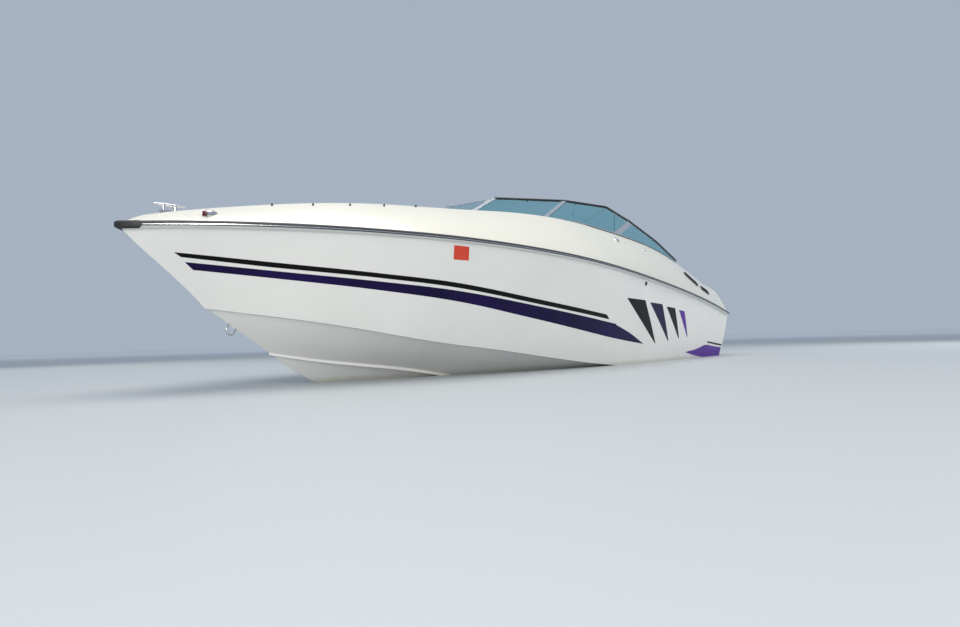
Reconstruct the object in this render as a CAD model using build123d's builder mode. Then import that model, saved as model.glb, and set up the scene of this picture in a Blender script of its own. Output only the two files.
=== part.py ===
"""Open-bow sterndrive speedboat, afloat.

Frame: +X towards the bow, +Y to port, +Z up. The origin is on the centreline,
amidships, at the level of the water that the hull floats in. Millimetres.
"""
import os
from math import cos, hypot, radians, sin

from build123d import *

# Overall sizes
LENGTH = 7370.0
BEAM = 2590.0
BASE_LENGTH = 7370.0
BASE_BEAM = 2590.0
TRANSOM_X = -LENGTH / 2

# Gaps between pieces
SEAM_GAP = 0.4
SOFT_GAP = 3.0
PIN_GAP = 0.05

# Lines of the hull, one row to a station, port side. Past the stem the rows run
# on across the centreline, and the stem is where the surfaces meet it.
# Columns: distance from the transom, keel y and z, strake y and z, chine y and z,
# rub rail y and z, bulge of the topside, widths of the strake and of the chine flat.
HULL_LINES = [
    (0, 0, -500, 500, -315, 1090, -85, 1248, 554, 14, 50, 60),
    (800, 0, -499, 500, -312, 1093, -75, 1270, 679, 14, 50, 60),
    (1600, 0, -496, 500, -305, 1095, -62, 1281, 779, 14, 50, 60),
    (3000, 0, -480, 500, -262, 1070, 0, 1294, 911, 12, 50, 55),
    (4000, 0, -418, 490, -142, 985, 105, 1283, 973, 7, 45, 50),
    (4900, 0, -272, 418, 18, 826, 226, 1181, 1010, -4, 36, 42),
    (5600, -60, -151, 253, 126, 630, 331, 1008, 1031, -12, 26, 34),
    (6200, -200, -53, 55, 215, 385, 442, 780, 1041, -16, 18, 26),
    (6700, -330, 200, -200, 330, 78, 525, 520, 1044, -14, 12, 20),
    (7100, -470, 370, -400, 440, -190, 600, 251, 1041, -8, 10, 16),
    (7420, -560, 530, -520, 580, -400, 665, -55, 1036, -4, 8, 12),
]
# Columns: distance from the transom, shoulder y and z, crown y and z, bulge of the side
DECK_LINES = [
    (0, 1075, 880, 760, 905, 16),
    (800, 1040, 1068, 780, 1090, 20),
    (1600, 1030, 1238, 790, 1262, 24),
    (3000, 1010, 1360, 740, 1385, 26),
    (4000, 930, 1388, 600, 1420, 26),
    (4900, 800, 1345, 480, 1375, 24),
    (5600, 640, 1310, 380, 1338, 20),
    (6200, 440, 1270, 240, 1292, 16),
    (6700, 235, 1207, 90, 1221, 12),
    (7100, 60, 1140, -60, 1151, 8),
    (7420, -130, 1055, -250, 1062, 4),
]
PAST_CENTRE = -680.0

# Rub rail
RAIL_HEIGHT = 44.0
RAIL_DEPTH = 24.0
RAIL_NOSE = 24.0

# Soles, seat levels and walls inside, by height
COCKPIT_SOLE = 350.0
WALKWAY_SOLE = 430.0
BOW_SOLE = 520.0
BOW_SEAT_LEVEL = 800.0
BENCH_LEVEL = 650.0
HATCH_LEVEL = 790.0
BAY_FLOOR = -230.0
ABOVE_ALL = 2000.0

# Places along the boat, from the transom
BAY_AFT = 110.0
BAY_FORWARD = 1180.0
HATCH_AFT = 30.0
HATCH_FORWARD = 1250.0
BENCH_AFT = 1320.0
BENCH_FORWARD = 1900.0
DASH_AFT = 3420.0
DASH_FORWARD = 4480.0
BOW_WELL_FORWARD = 6350.0
BOW_FOOTWELL_FORWARD = 5900.0

# Half-widths inside
BAY_HALF = 520.0
HATCH_HALF = 640.0
COCKPIT_HALF = 900.0
WALKWAY_HALF = 290.0
BOW_FOOTWELL_HALF = 260.0
# Columns: distance from the transom, half-width of the bow cockpit
BOW_WELL = [(4480, 680), (5000, 610), (5700, 450), (6350, 170)]

# Windshield: a row to a post or knuckle of the port side, from the centre aft.
# Columns: foot from the transom, foot y, top from the transom, top y, top z
WINDSHIELD = [
    (4420, WALKWAY_HALF + 10, 3916, WALKWAY_HALF + 10, 1659),
    (3870, 830, 3309, 723, 1659),
    (3400, 950, 2791, 920, 1639),
    (2740, 995, 2300, 960, 1535),
    (2000, 1000, 1684, 980, 1386),
    (1160, 998, 1130, 1000, 1200),
]
# Columns: row of the windshield that the post stands on, its width
POSTS = [(0, 30), (1, 38), (3, 62)]
POST_DEPTH = 16.0
TOP_RAIL_RADIUS = 15.0
FOOT_RAIL_RADIUS = 18.0
FOOT_RAIL_RISE = 6.0
RAIL_BEND = 120.0
STAY_RADIUS = 6.0
# Columns: top of the stay from the transom, its y and z, foot from the transom, its y
STAYS = [(3180, 772, 1650, 3460, 860), (2640, 934, 1610, 2700, 955)]
GLASS_THICKNESS = 6.0
GLASS_INSET = 3.0
DOOR_SIDE_GAP = 32.0
DOOR_RAIL = 22.0
DOOR_DEPTH = 12.0
DOOR_FOOT_RISE = 34.0
DOOR_AXIS_OUT = 9.0
DOOR_AXIS_PROUD = 15.0
DOOR_KNUCKLE_RADIUS = 5.5
DOOR_KNUCKLE_LENGTH = 40.0
DOOR_PIN_RADIUS = 2.5
DOOR_ARM_RADIUS = 4.0
DOOR_ARM_GAP = 7.0
DOOR_KNUCKLES = (0.2, 0.78)

# Helm
WHEEL_HEIGHT = 1150.0
WHEEL_STANDOFF = 130.0
WHEEL_RADIUS = 175.0
WHEEL_GRIP_RADIUS = 15.0
WHEEL_HUB_RADIUS = 46.0
WHEEL_HUB_DEPTH = 34.0
WHEEL_SPOKE_WIDTH = 34.0
WHEEL_SPOKE_THICKNESS = 8.0
WHEEL_TILT = 25.0
WHEEL_SHAFT_RADIUS = 10.0
WHEEL_SPOKE_TURNS = (-15, 90, 195)
SHAFT_BURIED = 60.0
COLUMN_RADIUS = 38.0
COLUMN_LENGTH = 98.0
PANEL_SIDE_GAP = 40.0
PANEL_FOOT_Z = 1000.0
PANEL_TOP_Z = 1340.0
PANEL_DEPTH = 130.0
PANEL_TOP_DEPTH = 60.0
PANEL_BROW_RISE = 90.0
PANEL_EDGE = 10.0
WHEEL_SEAT_DEPTH = 0.62 * PANEL_DEPTH
# Columns: offset from the wheel's centre, height up the face, radius of the dial
GAUGES = [(-95, 186, 48), (95, 186, 48), (-180, 178, 28), (180, 178, 28), (0, 212, 28)]
GAUGE_DEPTH = 6.0
GAUGE_RIM = 5.0
GLOVE_BOX = (320.0, 150.0)
GLOVE_BOX_DEPTH = 4.0
GLOVE_BOX_CORNER = 18.0
THROTTLE_DISTANCE = 3120.0
THROTTLE_HEIGHT = 1030.0
THROTTLE_SIZE = (190.0, 22.0, 90.0)
THROTTLE_LEVER_RADIUS = 7.0
THROTTLE_LEVER_LENGTH = 130.0
THROTTLE_KNOB_RADIUS = 17.0
THROTTLE_LEAN = 45.0

# Seats
SEAT_DISTANCE = 2700.0
SEAT_SIDE_GAP = 80.0
SEAT_WIDTH = 520.0
SEAT_LENGTH = 500.0
SEAT_TOP = 860.0
SEAT_CUSHION = 130.0
SEAT_SHELL = 16.0
SEAT_WING = 9.0
SEAT_WING_FRONT = 50.0
SEAT_WING_KNEE = 90.0
SEAT_BACK_HEIGHT = 470.0
SEAT_BACK_THICKNESS = 110.0
CUSHION_CORNER = 50.0
BACK_CORNER = 30.0
PEDESTAL_RADIUS = 70.0
PEDESTAL_FOOT_RADIUS = 126.0
PEDESTAL_FOOT_HEIGHT = 20.0
BENCH_CUSHION = 120.0
BENCH_BACK_TOP = 950.0
BENCH_BACK_THICKNESS = 110.0
BOW_CUSHION = 90.0
BOW_BACKREST_TOP = 1230.0
BOW_BACKREST_THICKNESS = 100.0
BOW_BACKREST_SIDE_GAP = 20.0

# Bow eye, from the foot of the stem's straight stretch
BOW_EYE_UP = 250.0
BOW_EYE_HALF = 32.0
BOW_EYE_REACH = 44.0
BOW_EYE_ROOT = 30.0
BOW_EYE_RADIUS = 7.0
BOW_EYE_BEND = 30.0
# Columns: distance from the transom and height of two points of the stem
STEM = [(6411, 274), (6883, 586)]

# Engine and its hatch
ENGINE_HALF_WIDTH = 330.0
ENGINE_HEIGHT = 640.0
ENGINE_LENGTH = 880.0
HATCH_RECESS_GAP = 10.0
HATCH_THICKNESS = 40.0
HATCH_CORNER = 40.0
HATCH_EDGE = 8.0
SUN_PAD_THICKNESS = 95.0
SUN_PAD_SET_BACK = 170.0
SUN_PAD_BORDER = 20.0
# Hinges of the hatch: their axis lies ahead of and above its lower edge
HINGE_AHEAD = 10.0
HINGE_RISE = 8.0
HINGE_Y = 430.0
HINGE_KNUCKLE_RADIUS = 5.5
HINGE_PIN_RADIUS = 2.5
HINGE_KNUCKLE_LENGTH = 26.0
HINGE_GAP = 1.0
HINGE_LEAF = 4.0
HINGE_LEAF_LENGTH = 30.0
# Struts: foot and eye lie equally far from the hinge, so the swing is half the hatch's turn
STRUT_SIDE_GAP = 50.0
STRUT_REACH = 300.0
STRUT_EYE_ANGLE = 5.7
STRUT_FOOT_ANGLE = 68.0
STRUT_TUBE_RADIUS = 14.0
STRUT_ROD_RADIUS = 6.0
STRUT_END_RADIUS = 12.0
STRUT_END_HALF = 7.0
STRUT_PIN_RADIUS = 6.0
STRUT_NECK = 8.0
STRUT_TUBE_SHORT = 30.0
STRUT_ROD_SHORT = 35.0
STRUT_LUG = (40.0, 8.0, 45.0)
STRUT_LUG_GAP = 22.0
STRUT_PLATE = (60.0, 8.0, 60.0)

# Air vents of the engine bay on the deck's sides.
# Columns: middle from the transom, height of the middle, length, rise for each unit forward
VENTS = [(1050, 962, 345, 0.41), (655, 841, 265, 0.22)]
VENT_HEIGHT = 66.0
VENT_RIM = 8.0
VENT_DEPTH = 6.0
VENT_PROUD = 10.0
VENT_SINK = 8.0
VENT_SLAT = 5.0
VENT_SLAT_PITCH = 28.0

# Swim platform and ladder
PLATFORM_HALF = 930.0
PLATFORM_LENGTH = 430.0
PLATFORM_UNDER = 345.0
PLATFORM_THICKNESS = 55.0
PLATFORM_CORNER = 180.0
PLATFORM_EDGE = 12.0
KNEE_Y = 350.0
KNEE_REACH = 260.0
KNEE_DROP = 150.0
KNEE_THICKNESS = 12.0
LADDER_Y = 600.0
LADDER_WIDTH = 280.0
LADDER_LENGTH = 340.0
LADDER_TUBE_RADIUS = 12.0
LADDER_PIN_RADIUS = 6.0
LADDER_AXIS_BACK = 395.0
LADDER_AXIS_Z = 315.0
LADDER_TREAD = (52.0, 22.0)
LADDER_TREADS = (0.36, 0.68, 1.0)
LADDER_LUG_OUT = 26.0
LADDER_LUG = (40.0, 10.0)

# Sterndrive: places aft of the transom, then aft of and above the trim axis
DRIVE_AXIS_BACK = 170.0
TRIM_AXIS_Z = -60.0
HOUSING_PLATE = (440.0, 520.0, 48.0)
HOUSING_PLATE_DROP = 45.0
HOUSING_PLATE_CORNER = 70.0
HOUSING_PLATE_EDGE = 14.0
SWIVEL_LUG_RADIUS = 34.0
SWIVEL_LUG_GAP = 6.0
SWIVEL_LUG_HEIGHT = 44.0
SWIVEL_PIN_RADIUS = 16.0
BELLOWS_RADIUS = 58.0
BELLOWS_FOLD = 66.0
BELLOWS_FRONT = 70.0
BELLOWS_FOLDS = 3
BOOT_RADIUS = 38.0
RING_HALF_WIDTH = 150.0
RING_TOP = 155.0
RING_FOOT = -250.0
RING_WALL = 26.0
RING_DEPTH = 44.0
RING_CORNER = 45.0
TRIM_PIN_RADIUS = 14.0
EAR_RADIUS = 26.0
EAR_THICKNESS = 18.0
EAR_GAP = 9.0
UPPER_HOUSING = [(45, -110), (45, 50), (100, 50), (185, 138), (300, 138), (352, 95), (355, -60), (300, -130)]
UPPER_HOUSING_HALF = 105.0
UPPER_HOUSING_EDGE = 24.0
TOP_COVER = [(200, 138), (212, 150), (286, 150), (298, 138)]
TOP_COVER_HALF = 70.0
# Columns: height, leading edge, trailing edge, half thickness of the leg
LEG_SECTIONS = [(-585, 88, 318, 34), (-95, 62, 325, 46)]
LEG_FULLEST = 0.55
PLATE_HEIGHT = -418.0
PLATE_THICKNESS = 12.0
PLATE_OUTLINE = [(35, 20), (130, 105), (470, 120), (520, 70)]
INTAKE_SLOT = (60.0, 7.0)
INTAKE_DEPTH = 5.0
INTAKE_BACK = 190.0
INTAKES = 4
# Columns: place along the gear case, its radius
GEAR_CASE = [(-40, 0), (-20, 24), (30, 46), (130, 57), (250, 57), (350, 52), (350, 0)]
SKEG = [(20, -630), (85, -815), (120, -833), (280, -833), (300, -810), (260, -630)]
SKEG_THICKNESS = 12.0
PROP_BEHIND = 415.0
PROP_DROP = -610.0
PROP_SHAFT_RADIUS = 15.0
PROP_SHAFT_HALF = 82.0
PROP_HUB_RADIUS = 52.0
PROP_HUB_FLARE = 58.0
PROP_HUB_WALL = 7.0
PROP_HUB_LENGTH = 125.0
PROP_HUB_AHEAD = 62.0
PROP_EXHAUST_DEPTH = 34.0
PROP_BOSS_RADIUS = 26.0
# Columns: radius, chord, pitch angle, thickness, skew angle, rake aft
BLADE_SECTIONS = [(44, 96, 60, 13, 0, 0), (95, 150, 44, 9, 4, 5), (142, 158, 34, 6, 12, 12), (180, 80, 29, 3, 24, 20)]
BLADE_HOLLOW = 0.15
BLADES = 3
CYLINDER_Y = 175.0
CYLINDER_FOOT = (5.0, -285.0)
CYLINDER_EYE = (280.0, -75.0)
CYLINDER_RADIUS = 28.0
CYLINDER_ROD_RADIUS = 11.0
CYLINDER_END_RADIUS = 25.0
CYLINDER_END_HALF = 12.0
CYLINDER_FOOT_PIN = 10.0
CYLINDER_EYE_PIN = 8.0
CYLINDER_EYE_BORE = 16.0
CYLINDER_PIN_REACH = 20.0
CYLINDER_SHARE = 0.76
CYLINDER_BORE_START = 45.0
CYLINDER_SPARE = 20.0
CYLINDER_CAP = 18.0
CYLINDER_NECK = 18.0
CYLINDER_CAP_PROUD = 3.0

# Fittings on the deck
CLEATS = [(7050, 0), (260, 1000), (260, -1000)]
CLEAT_HALF = 105.0
CLEAT_POST = 38.0
CLEAT_RISE = 40.0
CLEAT_SINK = 12.0
CLEAT_RADIUS = 10.0
CLEAT_TIP = 5.0
CLEAT_BASE = (120.0, 36.0)
BOW_LIGHT_DISTANCE = 6925.0
BOW_LIGHT_HEIGHT = 1122.0
BOW_LIGHT_TAIL = 80.0
BOW_LIGHT_FRONT = 38.0
BOW_LIGHT_RADIUS = 25.0
BOW_LIGHT_LENS = 19.0
BOW_LIGHT_DOME = 22.0
SOCKET_DISTANCE = 420.0
SOCKET_Y = -930.0
SOCKET_FOOT_Z = 950.0
SOCKET_LENGTH = 50.0
SOCKET_RADIUS = 26.0
SOCKET_BORE_RADIUS = 11.0
SOCKET_BORE_DEPTH = 36.0
# Columns: offset to port, height
STERN_EYES = [(-880, 210), (880, 210), (0, 480)]
STERN_EYE_REACH = 50.0
STERN_EYE_HALF = 26.0
STERN_EYE_BAR = 6.0
STERN_EYE_BEND = 20.0
STERN_EYE_PLATE = (6.0, 46.0, 90.0)
def along(distance):
    """Place along X of a point that far forward of the transom."""
    return TRANSOM_X + distance * LENGTH / BASE_LENGTH


def wide(offset):
    """Half-breadth scaled to the beam."""
    return offset * BEAM / BASE_BEAM


def station_plane(distance):
    """Cross-section plane: its x is to port and its y is up."""
    return Plane(origin=(along(distance), 0, 0), x_dir=(0, 1, 0), z_dir=(1, 0, 0))


def bulged(start, end, bulge):
    """Middle point of an arc that stands out by the bulge to port of its chord."""
    run = hypot(end[0] - start[0], end[1] - start[1])
    out = ((end[1] - start[1]) / run, (start[0] - end[0]) / run)
    return ((start[0] + end[0]) / 2 + bulge * out[0], (start[1] + end[1]) / 2 + bulge * out[1])


def column(table, distance, index):
    """Value in a table's column at a distance, straight between its rows."""
    for low, high in zip(table, table[1:]):
        if low[0] <= distance <= high[0]:
            share = (distance - low[0]) / (high[0] - low[0])
            return low[index] + share * (high[index] - low[index])
    return table[-1][index]


def on_boat(distance, y, z):
    """Point at a distance from the transom and an offset to port."""
    return Vector(along(distance), wide(y), z)


def aft(back, y, z):
    """Point that far aft of the transom."""
    return Vector(TRANSOM_X - back, y, z)


def drive(back, y, up):
    """Point aft of and above the middle of the trim axis."""
    return aft(DRIVE_AXIS_BACK + back, y, TRIM_AXIS_Z + up)


def profile_point(point):
    """The point's place in the upright plane along the boat."""
    return (point.X, point.Z)


def deck_height(distance, y):
    """Height of the deck's top straight above a point of the plan."""
    down = Axis((along(distance), wide(y), ABOVE_ALL), (0, 0, -1))
    return max(point.Z for point, _ in deck.part.find_intersection_points(down))


def deck_side(distance, z):
    """Outermost point of the deck's port side at a height, and the way out of it."""
    inward = Axis((along(distance), ABOVE_ALL, z), (0, -1, 0))
    return max(deck.part.find_intersection_points(inward), key=lambda found: found[0].Y)


def vent_planes():
    """For each vent, the plane on the deck's port side, its x towards the bow, and its length."""
    planes = []
    for distance, z, length, slope in VENTS:
        ahead, _ = deck_side(distance + length / 3, z + slope * length / 3)
        behind, _ = deck_side(distance - length / 3, z - slope * length / 3)
        middle, out = deck_side(distance, z)
        out = out if out.Y > 0 else -out
        planes.append((Plane(origin=middle, x_dir=ahead - behind, z_dir=out), length))
    return planes


def rod(start, end, radius, mode=Mode.ADD):
    """Round bar between two points."""
    way = end - start
    with BuildSketch(Plane(origin=start, z_dir=way)) as disc:
        Circle(radius)
    extrude(disc.sketch, amount=way.length, mode=mode)


def bar(start, end, across, width, depth):
    """Flat bar between two points, its width along the given direction."""
    way = end - start
    with BuildSketch(Plane(origin=start, x_dir=across, z_dir=way)) as section:
        Rectangle(width, depth)
    extrude(section.sketch, amount=way.length)


def swept_rail(points, radius, bend, mode=Mode.ADD):
    """Round rail along straight runs with bends between them."""
    with BuildLine() as path:
        FilletPolyline(*points, radius=bend)
    with BuildSketch(Plane(origin=path.line @ 0, z_dir=path.line % 0)) as disc:
        Circle(radius)
    sweep(disc.sketch, path=path.line, mode=mode)


def cushion(low, high, corner):
    """Plain block with rounded upright corners, for a soft piece."""
    size = [high[i] - low[i] for i in range(3)]
    middle = [(high[i] + low[i]) / 2 for i in range(3)]
    with Locations(tuple(middle)):
        Box(*size)
    fillet(edges().filter_by(Axis.Z), corner)
# Hull below the rub rail
with BuildPart() as hull:
    for row in HULL_LINES:
        place, keel_y, keel_z, strake_y, strake_z, chine_y, chine_z, rub_y, rub_z, bulge, step, flat = row
        keel = (wide(keel_y), keel_z)
        strake = (wide(strake_y), strake_z)
        chine = (wide(chine_y), chine_z)
        rub = (wide(rub_y), rub_z)
        rise = (strake[1] - keel[1]) / (strake[0] - keel[0])
        strake_root = (strake[0] - step, strake[1] - step * rise)
        strake_edge = (strake[0], strake_root[1])
        chine_root = (chine[0] - flat, chine[1])
        with BuildSketch(station_plane(place)):
            with BuildLine():
                Polyline(keel, strake_root, strake_edge, strake, chine_root, chine)
                ThreePointArc(chine, bulged(chine, rub, bulge), rub)
                Polyline(rub, (PAST_CENTRE, rub[1]), (PAST_CENTRE, keel[1]), keel)
            make_face()
    loft()
    split(bisect_by=Plane.XZ, keep=Keep.BOTTOM)
    mirror(about=Plane.XZ)
    # Main cockpit, down to its sole, and the moulded base of the aft bench
    cockpit_middle = (along(BENCH_FORWARD) + along(DASH_AFT)) / 2
    with Locations((cockpit_middle, 0, COCKPIT_SOLE)):
        Box(along(DASH_AFT) - along(BENCH_FORWARD), 2 * wide(COCKPIT_HALF), ABOVE_ALL,
            align=(Align.CENTER, Align.CENTER, Align.MIN), mode=Mode.SUBTRACT)
    with Locations((along(BENCH_AFT), 0, BENCH_LEVEL)):
        Box(along(BENCH_FORWARD) - along(BENCH_AFT), 2 * wide(COCKPIT_HALF), ABOVE_ALL,
            align=(Align.MIN, Align.CENTER, Align.MIN), mode=Mode.SUBTRACT)
    # Walkway between the consoles
    with Locations((along(DASH_AFT), 0, WALKWAY_SOLE)):
        Box(along(DASH_FORWARD) - along(DASH_AFT), 2 * wide(WALKWAY_HALF), ABOVE_ALL,
            align=(Align.MIN, Align.CENTER, Align.MIN), mode=Mode.SUBTRACT)
    # Bow cockpit: seat level, then the footwell
    with BuildSketch(Plane.XY.offset(BOW_SEAT_LEVEL)):
        with BuildLine():
            Polyline([(along(d), wide(w)) for d, w in BOW_WELL]
                     + [(along(d), -wide(w)) for d, w in reversed(BOW_WELL)], close=True)
        make_face()
    extrude(amount=ABOVE_ALL, mode=Mode.SUBTRACT)
    with Locations((along(DASH_FORWARD), 0, BOW_SOLE)):
        Box(along(BOW_FOOTWELL_FORWARD) - along(DASH_FORWARD), 2 * wide(BOW_FOOTWELL_HALF), ABOVE_ALL,
            align=(Align.MIN, Align.CENTER, Align.MIN), mode=Mode.SUBTRACT)
    # Engine bay
    with Locations((along(BAY_AFT), 0, BAY_FLOOR)):
        Box(along(BAY_FORWARD) - along(BAY_AFT), 2 * wide(BAY_HALF), ABOVE_ALL,
            align=(Align.MIN, Align.CENTER, Align.MIN), mode=Mode.SUBTRACT)
hull.part.label = "hull"

# Deck above the rub rail
with BuildPart() as deck:
    for hull_row, deck_row in zip(HULL_LINES, DECK_LINES):
        place, shoulder_y, shoulder_z, crown_y, crown_z, bulge = deck_row
        rub = (wide(hull_row[7]), hull_row[8] + SEAM_GAP)
        shoulder = (wide(shoulder_y), shoulder_z)
        crown = (wide(crown_y), crown_z)
        with BuildSketch(station_plane(place)):
            with BuildLine():
                ThreePointArc(rub, bulged(rub, shoulder, bulge), shoulder)
                Polyline(shoulder, crown, (PAST_CENTRE, crown[1]), (PAST_CENTRE, rub[1]), rub)
            make_face()
    loft()
    split(bisect_by=Plane.XZ, keep=Keep.BOTTOM)
    mirror(about=Plane.XZ)
    with Locations((along(BENCH_AFT), 0, 0)):
        Box(along(DASH_AFT) - along(BENCH_AFT), 2 * wide(COCKPIT_HALF), ABOVE_ALL,
            align=(Align.MIN, Align.CENTER, Align.MIN), mode=Mode.SUBTRACT)
    with Locations((along(DASH_AFT), 0, 0)):
        Box(along(DASH_FORWARD) - along(DASH_AFT), 2 * wide(WALKWAY_HALF), ABOVE_ALL,
            align=(Align.MIN, Align.CENTER, Align.MIN), mode=Mode.SUBTRACT)
    with BuildSketch(Plane.XY):
        with BuildLine():
            Polyline([(along(d), wide(w)) for d, w in BOW_WELL]
                     + [(along(d), -wide(w)) for d, w in reversed(BOW_WELL)], close=True)
        make_face()
    extrude(amount=ABOVE_ALL, mode=Mode.SUBTRACT)
    # Engine bay and the recess that the hatch lies in
    with Locations((along(BAY_AFT), 0, 0)):
        Box(along(BAY_FORWARD) - along(BAY_AFT), 2 * wide(BAY_HALF), ABOVE_ALL,
            align=(Align.MIN, Align.CENTER, Align.MIN), mode=Mode.SUBTRACT)
    with Locations((along(BENCH_AFT), 0, HATCH_LEVEL)):
        Box(along(BENCH_AFT) - TRANSOM_X + ABOVE_ALL, 2 * (wide(HATCH_HALF) + HATCH_RECESS_GAP), ABOVE_ALL,
            align=(Align.MAX, Align.CENTER, Align.MIN), mode=Mode.SUBTRACT)
    # Pocket of the stern light's socket
    with Locations((along(SOCKET_DISTANCE), wide(SOCKET_Y), SOCKET_FOOT_Z)):
        Cylinder(SOCKET_RADIUS + SEAM_GAP, ABOVE_ALL, align=(Align.CENTER, Align.CENTER, Align.MIN),
                 mode=Mode.SUBTRACT)
deck.part.label = "deck"

# Rub rail round the joint of hull and deck
with BuildPart() as rub_rail:
    for row in HULL_LINES:
        rub_y, rub_z = wide(row[7]), row[8]
        inner = rub_y + SEAM_GAP
        with BuildSketch(station_plane(row[0])):
            with BuildLine():
                Polyline((inner, rub_z - RAIL_HEIGHT / 2), (inner + RAIL_DEPTH, rub_z - RAIL_NOSE / 2),
                         (inner + RAIL_DEPTH, rub_z + RAIL_NOSE / 2), (inner, rub_z + RAIL_HEIGHT / 2),
                         close=True)
            make_face()
    loft()
    split(bisect_by=Plane.XZ, keep=Keep.BOTTOM)
    mirror(about=Plane.XZ)
rub_rail.part.label = "rub_rail"


deck_cutter = deck.part.moved(Location((0, 0, SEAM_GAP)))

# Windshield
feet = [on_boat(row[0], row[1], deck_height(row[0], row[1]) + FOOT_RAIL_RISE) for row in WINDSHIELD]
tops = [on_boat(row[2], row[3], row[4]) for row in WINDSHIELD]


def windshield_bars(extra):
    """Rails, posts and stays of the port side, grown by extra all round."""
    swept_rail(tops, TOP_RAIL_RADIUS + extra, RAIL_BEND)
    swept_rail(feet, FOOT_RAIL_RADIUS + extra, RAIL_BEND)
    for index, width in POSTS:
        before = max(index - 1, 0)
        across = (feet[index + 1] + tops[index + 1]) - (feet[before] + tops[before])
        bar(feet[index], tops[index], across, width + 2 * extra, POST_DEPTH + 2 * extra)
    for top_distance, top_y, top_z, foot_distance, foot_y in STAYS:
        rod(on_boat(top_distance, top_y, top_z),
            on_boat(foot_distance, foot_y, deck_height(foot_distance, foot_y) - FOOT_RAIL_RISE),
            STAY_RADIUS + extra)


post_y = wide(WINDSHIELD[0][1])
door_edge = post_y - DOOR_SIDE_GAP
door_axis_y = door_edge + DOOR_AXIS_OUT
door_foot = Vector(feet[0].X, 0, feet[0].Z)
door_lean = Vector(tops[0].X - feet[0].X, 0, tops[0].Z - feet[0].Z)
door_height = door_lean.length - DOOR_FOOT_RISE
door_middle = DOOR_FOOT_RISE + door_height / 2
door_plane = Plane(origin=door_foot, x_dir=(0, 1, 0), z_dir=Vector(0, 1, 0).cross(door_lean))


def door_point(y, rise, proud):
    """Point in the leaning plane of the door, proud of it towards the bow."""
    return door_plane.from_local_coords(Vector(y, rise, proud))


print("Hinge line of the windshield door", door_point(door_axis_y, 0, DOOR_AXIS_PROUD), door_lean.normalized())

with BuildPart() as port_bars:
    windshield_bars(SEAM_GAP)

with BuildPart() as windshield_frame:
    windshield_bars(0)
    add(deck_cutter, mode=Mode.SUBTRACT)
    mirror(about=Plane.XZ)
    # Pins that the door turns on, held off the port post by two arms each
    for share in DOOR_KNUCKLES:
        rise = DOOR_FOOT_RISE + share * door_height
        reach = DOOR_KNUCKLE_LENGTH / 2 + DOOR_ARM_GAP
        rod(door_point(door_axis_y, rise - reach, DOOR_AXIS_PROUD),
            door_point(door_axis_y, rise + reach, DOOR_AXIS_PROUD), DOOR_PIN_RADIUS)
        for end in (-reach, reach):
            rod(door_point(door_axis_y, rise + end, DOOR_AXIS_PROUD), door_point(post_y, rise + end, 0),
                DOOR_ARM_RADIUS)
windshield_frame.part.label = "windshield_frame"
def pane(first, last):
    """Thin ruled sheet of glass through the rows from first to last, between the bars."""
    for low, high in zip(range(first, last), range(first + 1, last + 1)):
        sections = []
        ahead = ((feet[high] + tops[high]) - (feet[low] + tops[low])).normalized()
        for index in (low, high):
            inset = GLASS_INSET if index == first else -GLASS_INSET if index == last else 0
            lean = tops[index] - feet[index]
            side = ahead.cross(lean)
            with BuildSketch(Plane(origin=feet[index] + ahead * inset, x_dir=lean,
                                   z_dir=lean.cross(side))) as section:
                with Locations((lean.length / 2, 0)):
                    Rectangle(lean.length, GLASS_THICKNESS)
            sections.append(section.sketch)
        loft(sections=sections, ruled=True)
    add(port_bars.part, mode=Mode.SUBTRACT)
    add(deck_cutter, mode=Mode.SUBTRACT)


with BuildPart() as port_front_glass:
    pane(0, 1)
port_front_glass.part.label = "port_front_glass"
with BuildPart() as port_side_glass:
    pane(1, 3)
    pane(3, 5)
port_side_glass.part.label = "port_side_glass"
with BuildPart() as starboard_front_glass:
    mirror(port_front_glass.part, about=Plane.XZ)
starboard_front_glass.part.label = "starboard_front_glass"
with BuildPart() as starboard_side_glass:
    mirror(port_side_glass.part, about=Plane.XZ)
starboard_side_glass.part.label = "starboard_side_glass"

# Walk-through door of the windshield: its plane leans as the posts do
with BuildPart() as windshield_door_frame:
    with BuildSketch(door_plane):
        with Locations((0, door_middle)):
            Rectangle(2 * door_edge, door_height)
            Rectangle(2 * (door_edge - DOOR_RAIL), door_height - 2 * DOOR_RAIL, mode=Mode.SUBTRACT)
    extrude(amount=DOOR_DEPTH / 2, both=True)
    for share in DOOR_KNUCKLES:
        rise = DOOR_FOOT_RISE + share * door_height
        half = DOOR_KNUCKLE_LENGTH / 2
        with BuildSketch(door_plane) as web:
            with Locations(((door_edge + door_axis_y) / 2 - DOOR_RAIL / 4, rise)):
                Rectangle(DOOR_AXIS_OUT + DOOR_RAIL / 2, DOOR_KNUCKLE_LENGTH)
        extrude(amount=DOOR_AXIS_PROUD)
        rod(door_point(door_axis_y, rise - half, DOOR_AXIS_PROUD),
            door_point(door_axis_y, rise + half, DOOR_AXIS_PROUD), DOOR_KNUCKLE_RADIUS)
        rod(door_point(door_axis_y, rise - half - 1, DOOR_AXIS_PROUD),
            door_point(door_axis_y, rise + half + 1, DOOR_AXIS_PROUD), DOOR_PIN_RADIUS + PIN_GAP,
            mode=Mode.SUBTRACT)
windshield_door_frame.part.label = "windshield_door_frame"
with BuildPart() as windshield_door_glass:
    with BuildSketch(door_plane):
        with Locations((0, door_middle)):
            Rectangle(2 * (door_edge - DOOR_RAIL - SEAM_GAP), door_height - 2 * (DOOR_RAIL + SEAM_GAP))
    extrude(amount=GLASS_THICKNESS / 2, both=True)
windshield_door_glass.part.label = "windshield_door_glass"

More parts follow.
